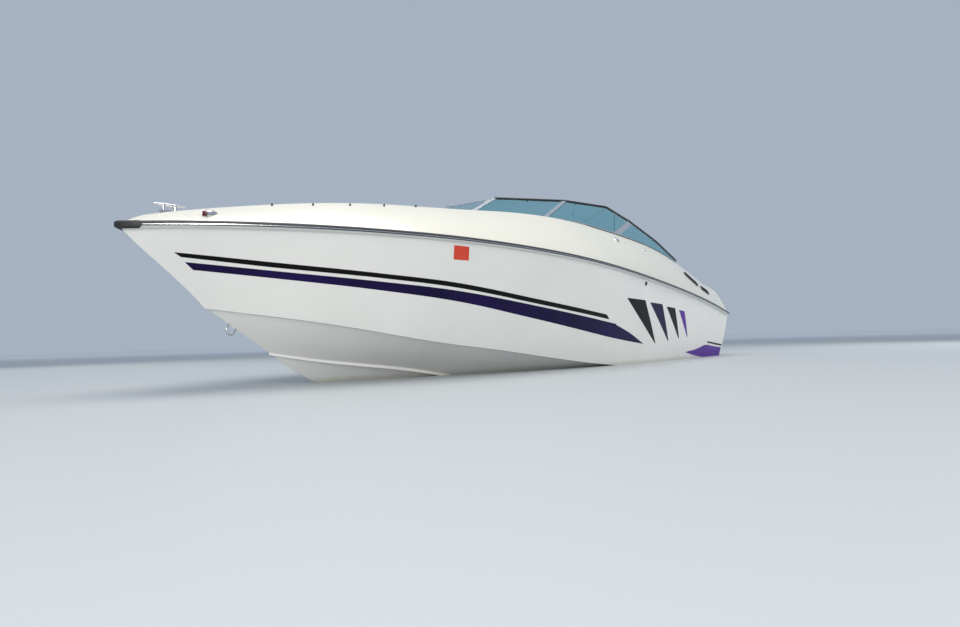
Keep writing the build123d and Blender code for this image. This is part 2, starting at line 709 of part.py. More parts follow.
# Instrument panels on the bulkhead behind the windshield
panel_x = along(DASH_AFT)
panel_in = wide(WALKWAY_HALF) + PANEL_SIDE_GAP
panel_out = wide(COCKPIT_HALF) - PANEL_SIDE_GAP
seat_y = wide(COCKPIT_HALF) - SEAT_SIDE_GAP - SEAT_WIDTH / 2
wheel_way = Vector(-cos(radians(WHEEL_TILT)), 0, sin(radians(WHEEL_TILT)))
wheel_seat = Vector(panel_x - WHEEL_SEAT_DEPTH, -seat_y, WHEEL_HEIGHT)
panel_face = [(panel_x - PANEL_DEPTH, PANEL_FOOT_Z + PANEL_BROW_RISE), (panel_x - PANEL_TOP_DEPTH, PANEL_TOP_Z)]
face_up = Vector(panel_face[1][0] - panel_face[0][0], 0, panel_face[1][1] - panel_face[0][1])


def face_plane(y):
    """Sloping face of a panel: its x is to starboard, its y goes up the face."""
    return Plane(origin=(panel_face[0][0], y, panel_face[0][1]), x_dir=(0, -1, 0),
                 z_dir=Vector(0, -1, 0).cross(face_up))


def panel_body(side):
    """Padded panel with a sloping face, on one side of the walkway."""
    with BuildSketch(Plane.XZ.offset(-side * panel_in)) as profile:
        with BuildLine():
            Polyline((panel_x, PANEL_FOOT_Z), (panel_x, PANEL_TOP_Z), panel_face[1], panel_face[0],
                     (panel_x - PANEL_TOP_DEPTH, PANEL_FOOT_Z), close=True)
        make_face()
    extrude(profile.sketch, amount=-side * (panel_out - panel_in))
    fillet(edges().filter_by(Axis.Y).sort_by(Axis.X)[0:2], PANEL_EDGE)


with BuildPart() as helm_panel:
    panel_body(-1)
    rod(wheel_seat, wheel_seat + wheel_way * COLUMN_LENGTH, COLUMN_RADIUS)
    for offset, up, radius in GAUGES:
        with BuildSketch(face_plane(-seat_y)) as bezel:
            with Locations((offset, up)):
                Circle(radius)
        extrude(bezel.sketch, amount=GAUGE_DEPTH)
        with BuildSketch(face_plane(-seat_y).offset(GAUGE_DEPTH)) as dial:
            with Locations((offset, up)):
                Circle(radius - GAUGE_RIM)
        extrude(dial.sketch, amount=-GAUGE_RIM, mode=Mode.SUBTRACT)
    rod(wheel_seat + wheel_way * WHEEL_STANDOFF, wheel_seat - wheel_way * SHAFT_BURIED,
        WHEEL_SHAFT_RADIUS + PIN_GAP, mode=Mode.SUBTRACT)
helm_panel.part.label = "helm_panel"
with BuildPart() as passenger_panel:
    panel_body(1)
    with BuildSketch(face_plane((panel_in + panel_out) / 2)) as lid:
        with Locations((0, face_up.length / 2)):
            RectangleRounded(*GLOVE_BOX, GLOVE_BOX_CORNER)
            RectangleRounded(GLOVE_BOX[0] - 2 * GLOVE_BOX_DEPTH, GLOVE_BOX[1] - 2 * GLOVE_BOX_DEPTH,
                             GLOVE_BOX_CORNER - GLOVE_BOX_DEPTH, mode=Mode.SUBTRACT)
    extrude(lid.sketch, amount=-GLOVE_BOX_DEPTH, mode=Mode.SUBTRACT)
passenger_panel.part.label = "passenger_panel"
with BuildPart() as throttle_control:
    lever_foot = Vector(along(THROTTLE_DISTANCE), THROTTLE_SIZE[1] - wide(COCKPIT_HALF), THROTTLE_HEIGHT)
    lever_top = lever_foot + Vector(-THROTTLE_LEAN, THROTTLE_LEVER_RADIUS, THROTTLE_LEVER_LENGTH)
    with Locations((along(THROTTLE_DISTANCE), SEAM_GAP - wide(COCKPIT_HALF), THROTTLE_HEIGHT)):
        Box(*THROTTLE_SIZE, align=(Align.CENTER, Align.MIN, Align.CENTER))
    fillet(edges().filter_by(Axis.Y), THROTTLE_SIZE[1] / 2)
    rod(lever_foot, lever_top, THROTTLE_LEVER_RADIUS)
    with Locations(lever_top):
        Sphere(THROTTLE_KNOB_RADIUS)
throttle_control.part.label = "throttle_control"

# Steering wheel: hub, flat spokes and a round grip
with BuildPart() as steering_wheel:
    wheel_centre = wheel_seat + wheel_way * WHEEL_STANDOFF
    wheel_plane = Plane(origin=wheel_centre, x_dir=(0, 1, 0), z_dir=wheel_way)
    rod(wheel_centre, wheel_seat - wheel_way * (SHAFT_BURIED - WHEEL_SHAFT_RADIUS), WHEEL_SHAFT_RADIUS)
    with BuildSketch(wheel_plane.offset(-WHEEL_HUB_DEPTH / 2)) as hub:
        Circle(WHEEL_HUB_RADIUS)
    extrude(hub.sketch, amount=WHEEL_HUB_DEPTH)
    with BuildSketch(wheel_plane.offset(-WHEEL_SPOKE_THICKNESS / 2)) as spokes:
        for turn in WHEEL_SPOKE_TURNS:
            with Locations(Rotation(0, 0, turn) * Location((WHEEL_RADIUS / 2, 0, 0))):
                Rectangle(WHEEL_RADIUS, WHEEL_SPOKE_WIDTH)
    extrude(spokes.sketch, amount=WHEEL_SPOKE_THICKNESS)
    with BuildSketch(Plane(origin=wheel_centre, x_dir=wheel_plane.x_dir, z_dir=wheel_plane.y_dir)) as grip:
        with Locations((WHEEL_RADIUS, 0)):
            Circle(WHEEL_GRIP_RADIUS)
    revolve(grip.sketch, axis=Axis(wheel_centre, wheel_way))
steering_wheel.part.label = "steering_wheel"

# Seats
seat_x = along(SEAT_DISTANCE)
shell_z = SEAT_TOP - SEAT_CUSHION - SEAT_SHELL
seat_front = seat_x + SEAT_LENGTH / 2
back_front = seat_x - SEAT_LENGTH / 2
back_behind = back_front - SEAT_BACK_THICKNESS - SEAT_SHELL
with BuildPart() as seat_shells:
    with Locations((seat_x, seat_y, COCKPIT_SOLE + SEAM_GAP)):
        Cylinder(PEDESTAL_FOOT_RADIUS, PEDESTAL_FOOT_HEIGHT, align=(Align.CENTER, Align.CENTER, Align.MIN))
        Cylinder(PEDESTAL_RADIUS, shell_z - COCKPIT_SOLE, align=(Align.CENTER, Align.CENTER, Align.MIN))
    # Pan under the cushion, panel behind the backrest and wings at the sides
    with Locations((seat_front, seat_y, shell_z)):
        Box(seat_front - back_behind, SEAT_WIDTH + 2 * SOFT_GAP, SEAT_SHELL,
            align=(Align.MAX, Align.CENTER, Align.MIN))
    with Locations((back_behind, seat_y, shell_z)):
        Box(SEAT_SHELL, SEAT_WIDTH + 2 * SOFT_GAP, SEAT_BACK_HEIGHT,
            align=(Align.MIN, Align.CENTER, Align.MIN))
    for side in (1, -1):
        wing_y = seat_y + side * (SEAT_WIDTH / 2 + SOFT_GAP)
        with BuildSketch(Plane.XZ.offset(-wing_y)) as wing:
            with BuildLine():
                Polyline((back_behind, shell_z), (seat_front, shell_z), (seat_front, shell_z + SEAT_WING_FRONT),
                         (back_front + SEAT_WING_KNEE, shell_z + SEAT_WING_KNEE),
                         (back_front - SEAT_WING_FRONT, shell_z + SEAT_BACK_HEIGHT),
                         (back_behind, shell_z + SEAT_BACK_HEIGHT), close=True)
            make_face()
            fillet(wing.vertices().sort_by(Axis.X)[2:4], SEAT_WING_FRONT / 2)
        extrude(wing.sketch, amount=-side * SEAT_WING)
    mirror(about=Plane.XZ)
seat_shells.part.label = "seat_shells"
seat_pieces = []
for side, name in ((1, "passenger"), (-1, "helm")):
    with BuildPart() as seat_cushion:
        cushion((back_front, side * seat_y - SEAT_WIDTH / 2, SEAT_TOP - SEAT_CUSHION + SEAM_GAP),
                (seat_front, side * seat_y + SEAT_WIDTH / 2, SEAT_TOP), CUSHION_CORNER)
    seat_cushion.part.label = f"{name}_seat_cushion"
    with BuildPart() as seat_back:
        cushion((back_front - SEAT_BACK_THICKNESS + SEAM_GAP, side * seat_y - SEAT_WIDTH / 2,
                 SEAT_TOP - SEAT_CUSHION + SEAM_GAP),
                (back_front - SOFT_GAP, side * seat_y + SEAT_WIDTH / 2,
                 SEAT_TOP - SEAT_CUSHION + SEAT_BACK_HEIGHT), BACK_CORNER)
    seat_back.part.label = f"{name}_seat_back"
    seat_pieces += [seat_cushion, seat_back]

bench_side = wide(COCKPIT_HALF) - SOFT_GAP
with BuildPart() as bench_cushion:
    cushion((along(BENCH_AFT) + BENCH_BACK_THICKNESS + SOFT_GAP, -bench_side, BENCH_LEVEL + SEAM_GAP),
            (along(BENCH_FORWARD) - SOFT_GAP, bench_side, BENCH_LEVEL + BENCH_CUSHION), CUSHION_CORNER)
bench_cushion.part.label = "bench_cushion"
with BuildPart() as bench_back:
    cushion((along(BENCH_AFT) + SEAM_GAP, -bench_side, BENCH_LEVEL + SEAM_GAP),
            (along(BENCH_AFT) + BENCH_BACK_THICKNESS, bench_side, BENCH_BACK_TOP), BACK_CORNER)
bench_back.part.label = "bench_back"

bow_pieces = []
backrest_x = along(DASH_FORWARD)
pad_x = backrest_x + BOW_BACKREST_THICKNESS + 2 * SOFT_GAP
pad_distance = (pad_x - TRANSOM_X) * BASE_LENGTH / LENGTH
pad_end = BOW_FOOTWELL_FORWARD - 2 * SOFT_GAP
for side, name in ((1, "port"), (-1, "starboard")):
    with BuildPart() as bow_cushion:
        with BuildSketch(Plane.XY.offset(BOW_SEAT_LEVEL + SEAM_GAP)):
            with BuildLine():
                inner = side * (wide(BOW_FOOTWELL_HALF) + SOFT_GAP)
                outer = [(along(d), side * (wide(column(BOW_WELL, d, 1)) - 2 * SOFT_GAP))
                         for d in (pad_distance, BOW_WELL[1][0], pad_end)]
                Polyline([(pad_x, inner)] + outer + [(along(pad_end), inner)], close=True)
            make_face()
        extrude(amount=BOW_CUSHION)
    bow_cushion.part.label = f"bow_{name}_cushion"
    with BuildPart() as bow_back:
        near = side * (wide(WALKWAY_HALF) + 2 * SOFT_GAP)
        far = side * (wide(BOW_WELL[0][1]) - BOW_BACKREST_SIDE_GAP)
        cushion((backrest_x + SEAM_GAP, min(near, far), BOW_SEAT_LEVEL + SEAM_GAP),
                (backrest_x + BOW_BACKREST_THICKNESS, max(near, far), BOW_BACKREST_TOP), BACK_CORNER)
    bow_back.part.label = f"bow_{name}_backrest"
    bow_pieces += [bow_cushion, bow_back]

# Engine, as one plain block, and the hatch over it
hinge = Vector(along(HATCH_FORWARD) + HINGE_AHEAD, 0, HATCH_LEVEL + SEAM_GAP + HINGE_RISE)
strut_y = wide(BAY_HALF) - STRUT_SIDE_GAP


def strut_end(angle):
    """Point under the hatch, as far from its hinge as the struts' ends are, that angle below the level."""
    return hinge + STRUT_REACH * Vector(-cos(radians(angle)), 0, -sin(radians(angle)))


strut_eye = strut_end(STRUT_EYE_ANGLE)
strut_foot = strut_end(STRUT_FOOT_ANGLE)
strut_way = (strut_eye - strut_foot).normalized()
strut_length = (strut_eye - strut_foot).length
with BuildPart() as engine_block:
    with Locations(((along(BAY_AFT) + along(BAY_FORWARD)) / 2, 0, BAY_FLOOR + SEAM_GAP)):
        Box(ENGINE_LENGTH, 2 * ENGINE_HALF_WIDTH, ENGINE_HEIGHT, align=(Align.CENTER, Align.CENTER, Align.MIN))
engine_block.part.label = "engine_block"
with BuildPart() as engine_hatch:
    with Locations(((along(HATCH_AFT) + along(HATCH_FORWARD)) / 2, 0, HATCH_LEVEL + SEAM_GAP)):
        Box(along(HATCH_FORWARD) - along(HATCH_AFT), 2 * wide(HATCH_HALF), HATCH_THICKNESS,
            align=(Align.CENTER, Align.CENTER, Align.MIN))
    fillet(edges().filter_by(Axis.Z), HATCH_CORNER)
    fillet(edges().group_by(Axis.Z)[-1], HATCH_EDGE)
    for side in (1, -1):
        # Knuckle of the hinge, and the lug and stud that the strut's end sits beside
        knuckle = hinge + Vector(0, side * HINGE_Y, 0)
        half = Vector(0, HINGE_KNUCKLE_LENGTH / 2, 0)
        rod(knuckle - half, knuckle + half, HINGE_KNUCKLE_RADIUS)
        with Locations(knuckle):
            Box(2 * HINGE_AHEAD, HINGE_KNUCKLE_LENGTH, HINGE_KNUCKLE_RADIUS,
                align=(Align.MAX, Align.CENTER, Align.CENTER))
        rod(knuckle - half * 2, knuckle + half * 2, HINGE_PIN_RADIUS + PIN_GAP, mode=Mode.SUBTRACT)
        lug_y = side * (strut_y - STRUT_LUG_GAP)
        with Locations((strut_eye.X, lug_y, HATCH_LEVEL + SEAM_GAP)):
            Box(*STRUT_LUG, align=(Align.CENTER, Align.CENTER, Align.MAX))
        rod(Vector(strut_eye.X, lug_y, strut_eye.Z),
            Vector(strut_eye.X, side * (strut_y - STRUT_END_HALF - SEAM_GAP), strut_eye.Z), STRUT_PIN_RADIUS)
engine_hatch.part.label = "engine_hatch"
with BuildPart() as hatch_hinges:
    for side in (1, -1):
        knuckle = hinge + Vector(0, side * HINGE_Y, 0)
        reach = HINGE_KNUCKLE_LENGTH / 2 + HINGE_GAP
        outer = Vector(0, reach + HINGE_LEAF, 0)
        rod(knuckle - outer, knuckle + outer, HINGE_PIN_RADIUS)
        with Locations((hinge.X + HINGE_AHEAD, knuckle.Y, HATCH_LEVEL + SEAM_GAP)):
            Box(HINGE_LEAF_LENGTH, 2 * (reach + HINGE_LEAF), HINGE_LEAF,
                align=(Align.MIN, Align.CENTER, Align.MIN))
        for end in (-1, 1):
            cheek = knuckle + Vector(0, end * (reach + HINGE_LEAF / 2), 0)
            with BuildSketch(Plane.XZ.offset(-cheek.Y)) as outline:
                with Locations((hinge.X, hinge.Z)):
                    Circle(HINGE_KNUCKLE_RADIUS)
                with Locations((hinge.X, HATCH_LEVEL + SEAM_GAP)):
                    Rectangle(2 * HINGE_AHEAD, HINGE_RISE, align=(Align.MIN, Align.MIN))
            extrude(outline.sketch, amount=HINGE_LEAF / 2, both=True)
hatch_hinges.part.label = "hatch_hinges"
with BuildPart() as sun_pad:
    low_z = HATCH_LEVEL + HATCH_THICKNESS + 2 * SEAM_GAP
    pad_side = wide(HATCH_HALF) - SUN_PAD_BORDER
    cushion((along(HATCH_AFT) + SUN_PAD_BORDER, -pad_side, low_z),
            (along(HATCH_FORWARD) - SUN_PAD_SET_BACK, pad_side, low_z + SUN_PAD_THICKNESS), CUSHION_CORNER)
sun_pad.part.label = "sun_pad"
with BuildPart() as hatch_strut_tubes:
    for side in (1, -1):
        base = strut_foot + Vector(0, side * strut_y, 0)
        mouth = strut_length - STRUT_TUBE_SHORT
        half = Vector(0, STRUT_END_HALF, 0)
        rod(base + strut_way * STRUT_END_RADIUS * 2, base + strut_way * mouth, STRUT_TUBE_RADIUS)
        rod(base + strut_way * STRUT_ROD_SHORT, base + strut_way * (mouth + 1), STRUT_ROD_RADIUS + PIN_GAP,
            mode=Mode.SUBTRACT)
        rod(base - half, base + half, STRUT_END_RADIUS)
        rod(base, base + strut_way * (STRUT_ROD_SHORT - SOFT_GAP), STRUT_NECK)
        rod(base - half * 2, base + half * 2, STRUT_PIN_RADIUS + PIN_GAP, mode=Mode.SUBTRACT)
hatch_strut_tubes.part.label = "hatch_strut_tubes"
with BuildPart() as hatch_strut_rods:
    for side in (1, -1):
        eye = strut_eye + Vector(0, side * strut_y, 0)
        half = Vector(0, STRUT_END_HALF, 0)
        rod(eye, strut_foot + Vector(0, side * strut_y, 0) + strut_way * (STRUT_ROD_SHORT + SOFT_GAP),
            STRUT_ROD_RADIUS)
        rod(eye - half, eye + half, STRUT_END_RADIUS)
hatch_strut_rods.part.label = "hatch_strut_rods"
with BuildPart() as strut_brackets:
    for side in (1, -1):
        wall = wide(BAY_HALF) - SEAM_GAP
        with Locations((strut_foot.X, side * wall, strut_foot.Z)):
            Box(*STRUT_PLATE, align=(Align.CENTER, Align.MAX if side > 0 else Align.MIN, Align.CENTER))
        rod(Vector(strut_foot.X, side * (strut_y - STRUT_END_RADIUS), strut_foot.Z),
            Vector(strut_foot.X, side * (wall - STRUT_PLATE[1] / 2), strut_foot.Z), STRUT_PIN_RADIUS)
strut_brackets.part.label = "strut_brackets"

# Air vents on the deck's sides: a rim round a recess, and louvres across it
with BuildPart() as engine_vents:
    for plane, length in vent_planes():
        with BuildSketch(plane.offset(-VENT_SINK)) as outline:
            SlotOverall(length, VENT_HEIGHT)
        extrude(outline.sketch, amount=VENT_SINK + VENT_PROUD)
        with BuildSketch(plane.offset(VENT_PROUD)) as opening:
            SlotOverall(length - 2 * VENT_RIM, VENT_HEIGHT - 2 * VENT_RIM)
        extrude(opening.sketch, amount=-VENT_DEPTH, mode=Mode.SUBTRACT)
        count = int((length - VENT_HEIGHT) / VENT_SLAT_PITCH) + 1
        side_on = Plane(origin=plane.origin, x_dir=plane.x_dir, z_dir=-plane.y_dir)
        with BuildSketch(side_on) as slats:
            with Locations([((i - (count - 1) / 2) * VENT_SLAT_PITCH, 0) for i in range(count)]):
                Polygon((0, VENT_PROUD - 1), (VENT_SLAT, VENT_PROUD - 1), (-VENT_SLAT, VENT_PROUD - VENT_DEPTH - 1),
                        (-2 * VENT_SLAT, VENT_PROUD - VENT_DEPTH - 1), align=None)
        extrude(slats.sketch, amount=VENT_HEIGHT / 2 - VENT_RIM + 1, both=True)
    add(deck.part.moved(Location(plane.z_dir * 2 * SEAM_GAP)), mode=Mode.SUBTRACT)
    mirror(about=Plane.XZ)
engine_vents.part.label = "engine_vents"

# Swim platform on two knees, and the boarding ladder under it
with BuildPart() as swim_platform:
    with Locations((TRANSOM_X - SEAM_GAP, 0, PLATFORM_UNDER)):
        Box(PLATFORM_LENGTH, 2 * wide(PLATFORM_HALF), PLATFORM_THICKNESS,
            align=(Align.MAX, Align.CENTER, Align.MIN))
    fillet(edges().filter_by(Axis.Z).group_by(Axis.X)[0], PLATFORM_CORNER)
    fillet(edges().group_by(Axis.Z)[-1], PLATFORM_EDGE)
    for side in (1, -1):
        with BuildSketch(Plane.XZ.offset(-side * wide(KNEE_Y))) as knee:
            with BuildLine():
                Polyline([profile_point(aft(back, 0, PLATFORM_UNDER - drop))
                          for back, drop in ((SEAM_GAP, 0), (KNEE_REACH, 0),
                                             (SEAM_GAP + KNEE_THICKNESS, KNEE_DROP), (SEAM_GAP, KNEE_DROP))],
                         close=True)
            make_face()
        extrude(knee.sketch, amount=KNEE_THICKNESS / 2, both=True)
        lug = aft(LADDER_AXIS_BACK, LADDER_Y + side * (LADDER_WIDTH / 2 + LADDER_LUG_OUT), LADDER_AXIS_Z)
        across = Vector(0, 2 * LADDER_LUG[1], 0)
        with Locations((lug.X, lug.Y, PLATFORM_UNDER)):
            Box(*LADDER_LUG, PLATFORM_UNDER - LADDER_AXIS_Z + LADDER_LUG[0] / 2,
                align=(Align.CENTER, Align.CENTER, Align.MAX))
        rod(lug - across, lug + across, LADDER_PIN_RADIUS + PIN_GAP, mode=Mode.SUBTRACT)
swim_platform.part.label = "swim_platform"
with BuildPart() as boarding_ladder:
    for side in (1, -1):
        rail_y = LADDER_Y + side * LADDER_WIDTH / 2
        rod(aft(LADDER_AXIS_BACK, rail_y, LADDER_AXIS_Z),
            aft(LADDER_AXIS_BACK - LADDER_LENGTH, rail_y, LADDER_AXIS_Z), LADDER_TUBE_RADIUS)
    pin_reach = LADDER_WIDTH / 2 + LADDER_LUG_OUT + LADDER_LUG[1]
    rod(aft(LADDER_AXIS_BACK, LADDER_Y - pin_reach, LADDER_AXIS_Z),
        aft(LADDER_AXIS_BACK, LADDER_Y + pin_reach, LADDER_AXIS_Z), LADDER_PIN_RADIUS)
    for share in LADDER_TREADS:
        with Locations(aft(LADDER_AXIS_BACK - share * LADDER_LENGTH + LADDER_TREAD[1], LADDER_Y, LADDER_AXIS_Z)):
            Box(LADDER_TREAD[0], LADDER_WIDTH, LADDER_TREAD[1])
boarding_ladder.part.label = "boarding_ladder"

# Sterndrive: housing on the transom, steering ring, drive, propeller and trim cylinders
ear_y = RING_HALF_WIDTH - RING_WALL - EAR_GAP - EAR_THICKNESS / 2
with BuildPart() as gimbal_housing:
    with BuildSketch(Plane.YZ.offset(TRANSOM_X - SEAM_GAP)) as plate:
        with Locations((0, TRIM_AXIS_Z - HOUSING_PLATE_DROP)):
            RectangleRounded(HOUSING_PLATE[0], HOUSING_PLATE[1], HOUSING_PLATE_CORNER)
    extrude(plate.sketch, amount=-HOUSING_PLATE[2])
    chamfer(faces().sort_by(Axis.X)[0].edges(), HOUSING_PLATE_EDGE)
    for low in (RING_TOP + SWIVEL_LUG_GAP, RING_FOOT - SWIVEL_LUG_GAP - SWIVEL_LUG_HEIGHT):
        root = drive(HOUSING_PLATE[2] / 2 - DRIVE_AXIS_BACK, 0, low)
        with BuildSketch(Plane.XY.offset(root.Z)) as lug:
            with Locations((drive(0, 0, 0).X, 0)):
                Circle(SWIVEL_LUG_RADIUS)
            with Locations((root.X, 0)):
                Rectangle(DRIVE_AXIS_BACK - HOUSING_PLATE[2] / 2, 2 * SWIVEL_LUG_RADIUS,
                          align=(Align.MAX, Align.CENTER))
        extrude(lug.sketch, amount=SWIVEL_LUG_HEIGHT)
        rod(drive(0, 0, low - 1), drive(0, 0, low + SWIVEL_LUG_HEIGHT + 1), SWIVEL_PIN_RADIUS + PIN_GAP,
            mode=Mode.SUBTRACT)
gimbal_housing.part.label = "gimbal_housing"
with BuildPart() as drive_bellows:
    bellows_root = HOUSING_PLATE[2] + 2 * SEAM_GAP - DRIVE_AXIS_BACK
    rod(drive(bellows_root, 0, 0), drive(-BELLOWS_FRONT, 0, 0), BELLOWS_RADIUS)
    pitch = (-BELLOWS_FRONT - bellows_root) / BELLOWS_FOLDS
    for fold in range(BELLOWS_FOLDS):
        start = bellows_root + (fold + 0.25) * pitch
        rod(drive(start, 0, 0), drive(start + pitch / 2, 0, 0), BELLOWS_FOLD)
drive_bellows.part.label = "drive_bellows"
with BuildPart() as gimbal_ring:
    with BuildSketch(Plane.YZ.offset(drive(RING_DEPTH / 2, 0, 0).X)) as frame:
        with Locations((0, TRIM_AXIS_Z + (RING_TOP + RING_FOOT) / 2)):
            RectangleRounded(2 * RING_HALF_WIDTH, RING_TOP - RING_FOOT, RING_CORNER)
            RectangleRounded(2 * (RING_HALF_WIDTH - RING_WALL), RING_TOP - RING_FOOT - 2 * RING_WALL,
                             RING_CORNER - RING_WALL / 2, mode=Mode.SUBTRACT)
    extrude(frame.sketch, amount=RING_DEPTH)
    swivel_reach = SWIVEL_LUG_GAP + SWIVEL_LUG_HEIGHT - SOFT_GAP
    rod(drive(0, 0, RING_TOP - SWIVEL_LUG_GAP), drive(0, 0, RING_TOP + swivel_reach), SWIVEL_PIN_RADIUS)
    rod(drive(0, 0, RING_FOOT - swivel_reach), drive(0, 0, RING_FOOT + SWIVEL_LUG_GAP), SWIVEL_PIN_RADIUS)
    for side in (1, -1):
        cheek_y = side * (RING_HALF_WIDTH - RING_WALL / 2 - SWIVEL_LUG_GAP)
        foot = drive(CYLINDER_FOOT[0], cheek_y, CYLINDER_FOOT[1])
        with Locations((foot.X, foot.Y, foot.Z - CYLINDER_FOOT_PIN - SWIVEL_LUG_GAP)):
            Box(RING_DEPTH - 2 * SWIVEL_LUG_GAP, RING_WALL, RING_FOOT - CYLINDER_FOOT[1] + 2 * RING_WALL,
                align=(Align.CENTER, Align.CENTER, Align.MIN))
        rod(foot, foot + Vector(0, side * (CYLINDER_Y + CYLINDER_PIN_REACH - abs(cheek_y)), 0),
            CYLINDER_FOOT_PIN)
        rod(drive(0, side * (RING_HALF_WIDTH + 1), 0), drive(0, side * (RING_HALF_WIDTH - RING_WALL - 1), 0),
            TRIM_PIN_RADIUS + PIN_GAP, mode=Mode.SUBTRACT)
gimbal_ring.part.label = "gimbal_ring"

with BuildPart() as drive_leg:
    # Upper housing and its top cover
    with BuildSketch(Plane.XZ) as upper:
        with BuildLine():
            Polyline([profile_point(drive(back, 0, up)) for back, up in UPPER_HOUSING], close=True)
        make_face()
    extrude(upper.sketch, amount=UPPER_HOUSING_HALF, both=True)
    chamfer(faces().filter_by(Axis.Y).edges(), UPPER_HOUSING_EDGE)
    with BuildSketch(Plane.XZ) as cover:
        with BuildLine():
            Polyline([profile_point(drive(back, 0, up)) for back, up in TOP_COVER], close=True)
        make_face()
    extrude(cover.sketch, amount=TOP_COVER_HALF, both=True)
    # Boot over the universal joint
    rod(drive(0, 0, 0), drive(UPPER_HOUSING[0][0] + 1, 0, 0), BOOT_RADIUS)
    with Locations(drive(0, 0, 0)):
        Sphere(BOOT_RADIUS)
    # Leg, from the upper housing down to the gear case
    leg_sections = []
    for height, lead, trail, half in LEG_SECTIONS:
        with BuildSketch(Plane.XY.offset(TRIM_AXIS_Z + height)) as section:
            with BuildLine():
                nose = drive(lead, 0, 0).X
                tail = drive(trail, 0, 0).X
                for side in (1, -1):
                    ThreePointArc((nose, 0), (LEG_FULLEST * nose + (1 - LEG_FULLEST) * tail, side * half),
                                  (tail, 0))
            make_face()
        leg_sections.append(section.sketch)
    loft(sections=leg_sections)
    # Anti-ventilation plate
    with BuildSketch(Plane.XY.offset(TRIM_AXIS_Z + PLATE_HEIGHT)) as plate:
        with BuildLine():
            Polyline([(drive(back, 0, 0).X, y) for back, y in PLATE_OUTLINE]
                     + [(drive(back, 0, 0).X, -y) for back, y in reversed(PLATE_OUTLINE)], close=True)
        make_face()
    extrude(plate.sketch, amount=PLATE_THICKNESS)
    # Water intakes
    for row in range(INTAKES):
        height = PLATE_HEIGHT - (row + 3) * 2 * INTAKE_SLOT[1]
        for side in (1, -1):
            with Locations(drive(INTAKE_BACK, side * column(LEG_SECTIONS, height, 3), height)):
                Box(INTAKE_SLOT[0], 2 * INTAKE_DEPTH, INTAKE_SLOT[1], mode=Mode.SUBTRACT)
    # Gear case and the shaft of the propeller
    with BuildSketch(Plane.XZ) as case:
        with BuildLine():
            Polyline([profile_point(drive(back, 0, PROP_DROP + radius)) for back, radius in GEAR_CASE], close=True)
        make_face()
    revolve(case.sketch, axis=Axis(drive(0, 0, PROP_DROP), (1, 0, 0)))
    rod(drive(PROP_BEHIND - PROP_SHAFT_HALF, 0, PROP_DROP), drive(PROP_BEHIND + PROP_SHAFT_HALF, 0, PROP_DROP),
        PROP_SHAFT_RADIUS)
    # Skeg
    with BuildSketch(Plane.XZ) as fin:
        with BuildLine():
            Polyline([profile_point(drive(back, 0, up)) for back, up in SKEG], close=True)
        make_face()
    extrude(fin.sketch, amount=SKEG_THICKNESS / 2, both=True)
    for side in (1, -1):
        # Ear and pin that the drive tilts on
        with BuildSketch(Plane.XZ.offset(-side * ear_y)) as ear:
            with Locations(profile_point(drive(0, 0, 0))):
                Circle(EAR_RADIUS)
                Rectangle(UPPER_HOUSING[2][0], 2 * EAR_RADIUS, align=(Align.MAX, Align.CENTER))
        extrude(ear.sketch, amount=EAR_THICKNESS / 2, both=True)
        rod(drive(0, side * ear_y, 0), drive(0, side * (RING_HALF_WIDTH - 1), 0), TRIM_PIN_RADIUS)
        # Pin for the eye of the trim rod
        rod(drive(CYLINDER_EYE[0], side * (UPPER_HOUSING_HALF - SWIVEL_PIN_RADIUS), CYLINDER_EYE[1]),
            drive(CYLINDER_EYE[0], side * (CYLINDER_Y + CYLINDER_PIN_REACH), CYLINDER_EYE[1]), CYLINDER_EYE_PIN)
drive_leg.part.label = "drive_leg"

with BuildPart() as propeller:
    hub_front = PROP_BEHIND - PROP_HUB_AHEAD
    hub_profile = [(0, 0), (0, PROP_HUB_RADIUS), (PROP_HUB_LENGTH - PROP_EXHAUST_DEPTH, PROP_HUB_RADIUS),
                   (PROP_HUB_LENGTH, PROP_HUB_FLARE), (PROP_HUB_LENGTH, PROP_HUB_FLARE - PROP_HUB_WALL),
                   (PROP_HUB_LENGTH - PROP_EXHAUST_DEPTH, PROP_HUB_RADIUS - PROP_HUB_WALL),
                   (PROP_HUB_LENGTH - PROP_EXHAUST_DEPTH, PROP_BOSS_RADIUS), (PROP_HUB_LENGTH, PROP_BOSS_RADIUS),
                   (PROP_HUB_LENGTH, 0)]
    with BuildSketch(Plane.XZ) as hub:
        with BuildLine():
            Polyline([profile_point(drive(hub_front + back, 0, PROP_DROP + radius)) for back, radius in hub_profile],
                     close=True)
        make_face()
    revolve(hub.sketch, axis=Axis(drive(0, 0, PROP_DROP), (1, 0, 0)))
    for blade in range(BLADES):
        blade_sections = []
        for radius, chord, pitch, thickness, skew, rake in BLADE_SECTIONS:
            turn = radians(blade * 360 / BLADES + skew)
            out = Vector(0, sin(turn), cos(turn))
            across = Vector(0, cos(turn), -sin(turn))
            chord_way = across * cos(radians(pitch)) + Vector(1, 0, 0) * sin(radians(pitch))
            with BuildSketch(Plane(origin=drive(PROP_BEHIND + rake, 0, PROP_DROP) + out * radius,
                                   x_dir=chord_way, z_dir=out)) as section:
                with BuildLine():
                    ThreePointArc((-chord / 2, 0), (0, thickness), (chord / 2, 0))
                    ThreePointArc((chord / 2, 0), (0, -thickness * BLADE_HOLLOW), (-chord / 2, 0))
                make_face()
            blade_sections.append(section.sketch)
        loft(sections=blade_sections)
    rod(drive(hub_front - 1, 0, PROP_DROP), drive(hub_front + PROP_HUB_LENGTH + 1, 0, PROP_DROP),
        PROP_SHAFT_RADIUS + PIN_GAP, mode=Mode.SUBTRACT)
propeller.part.label = "propeller"

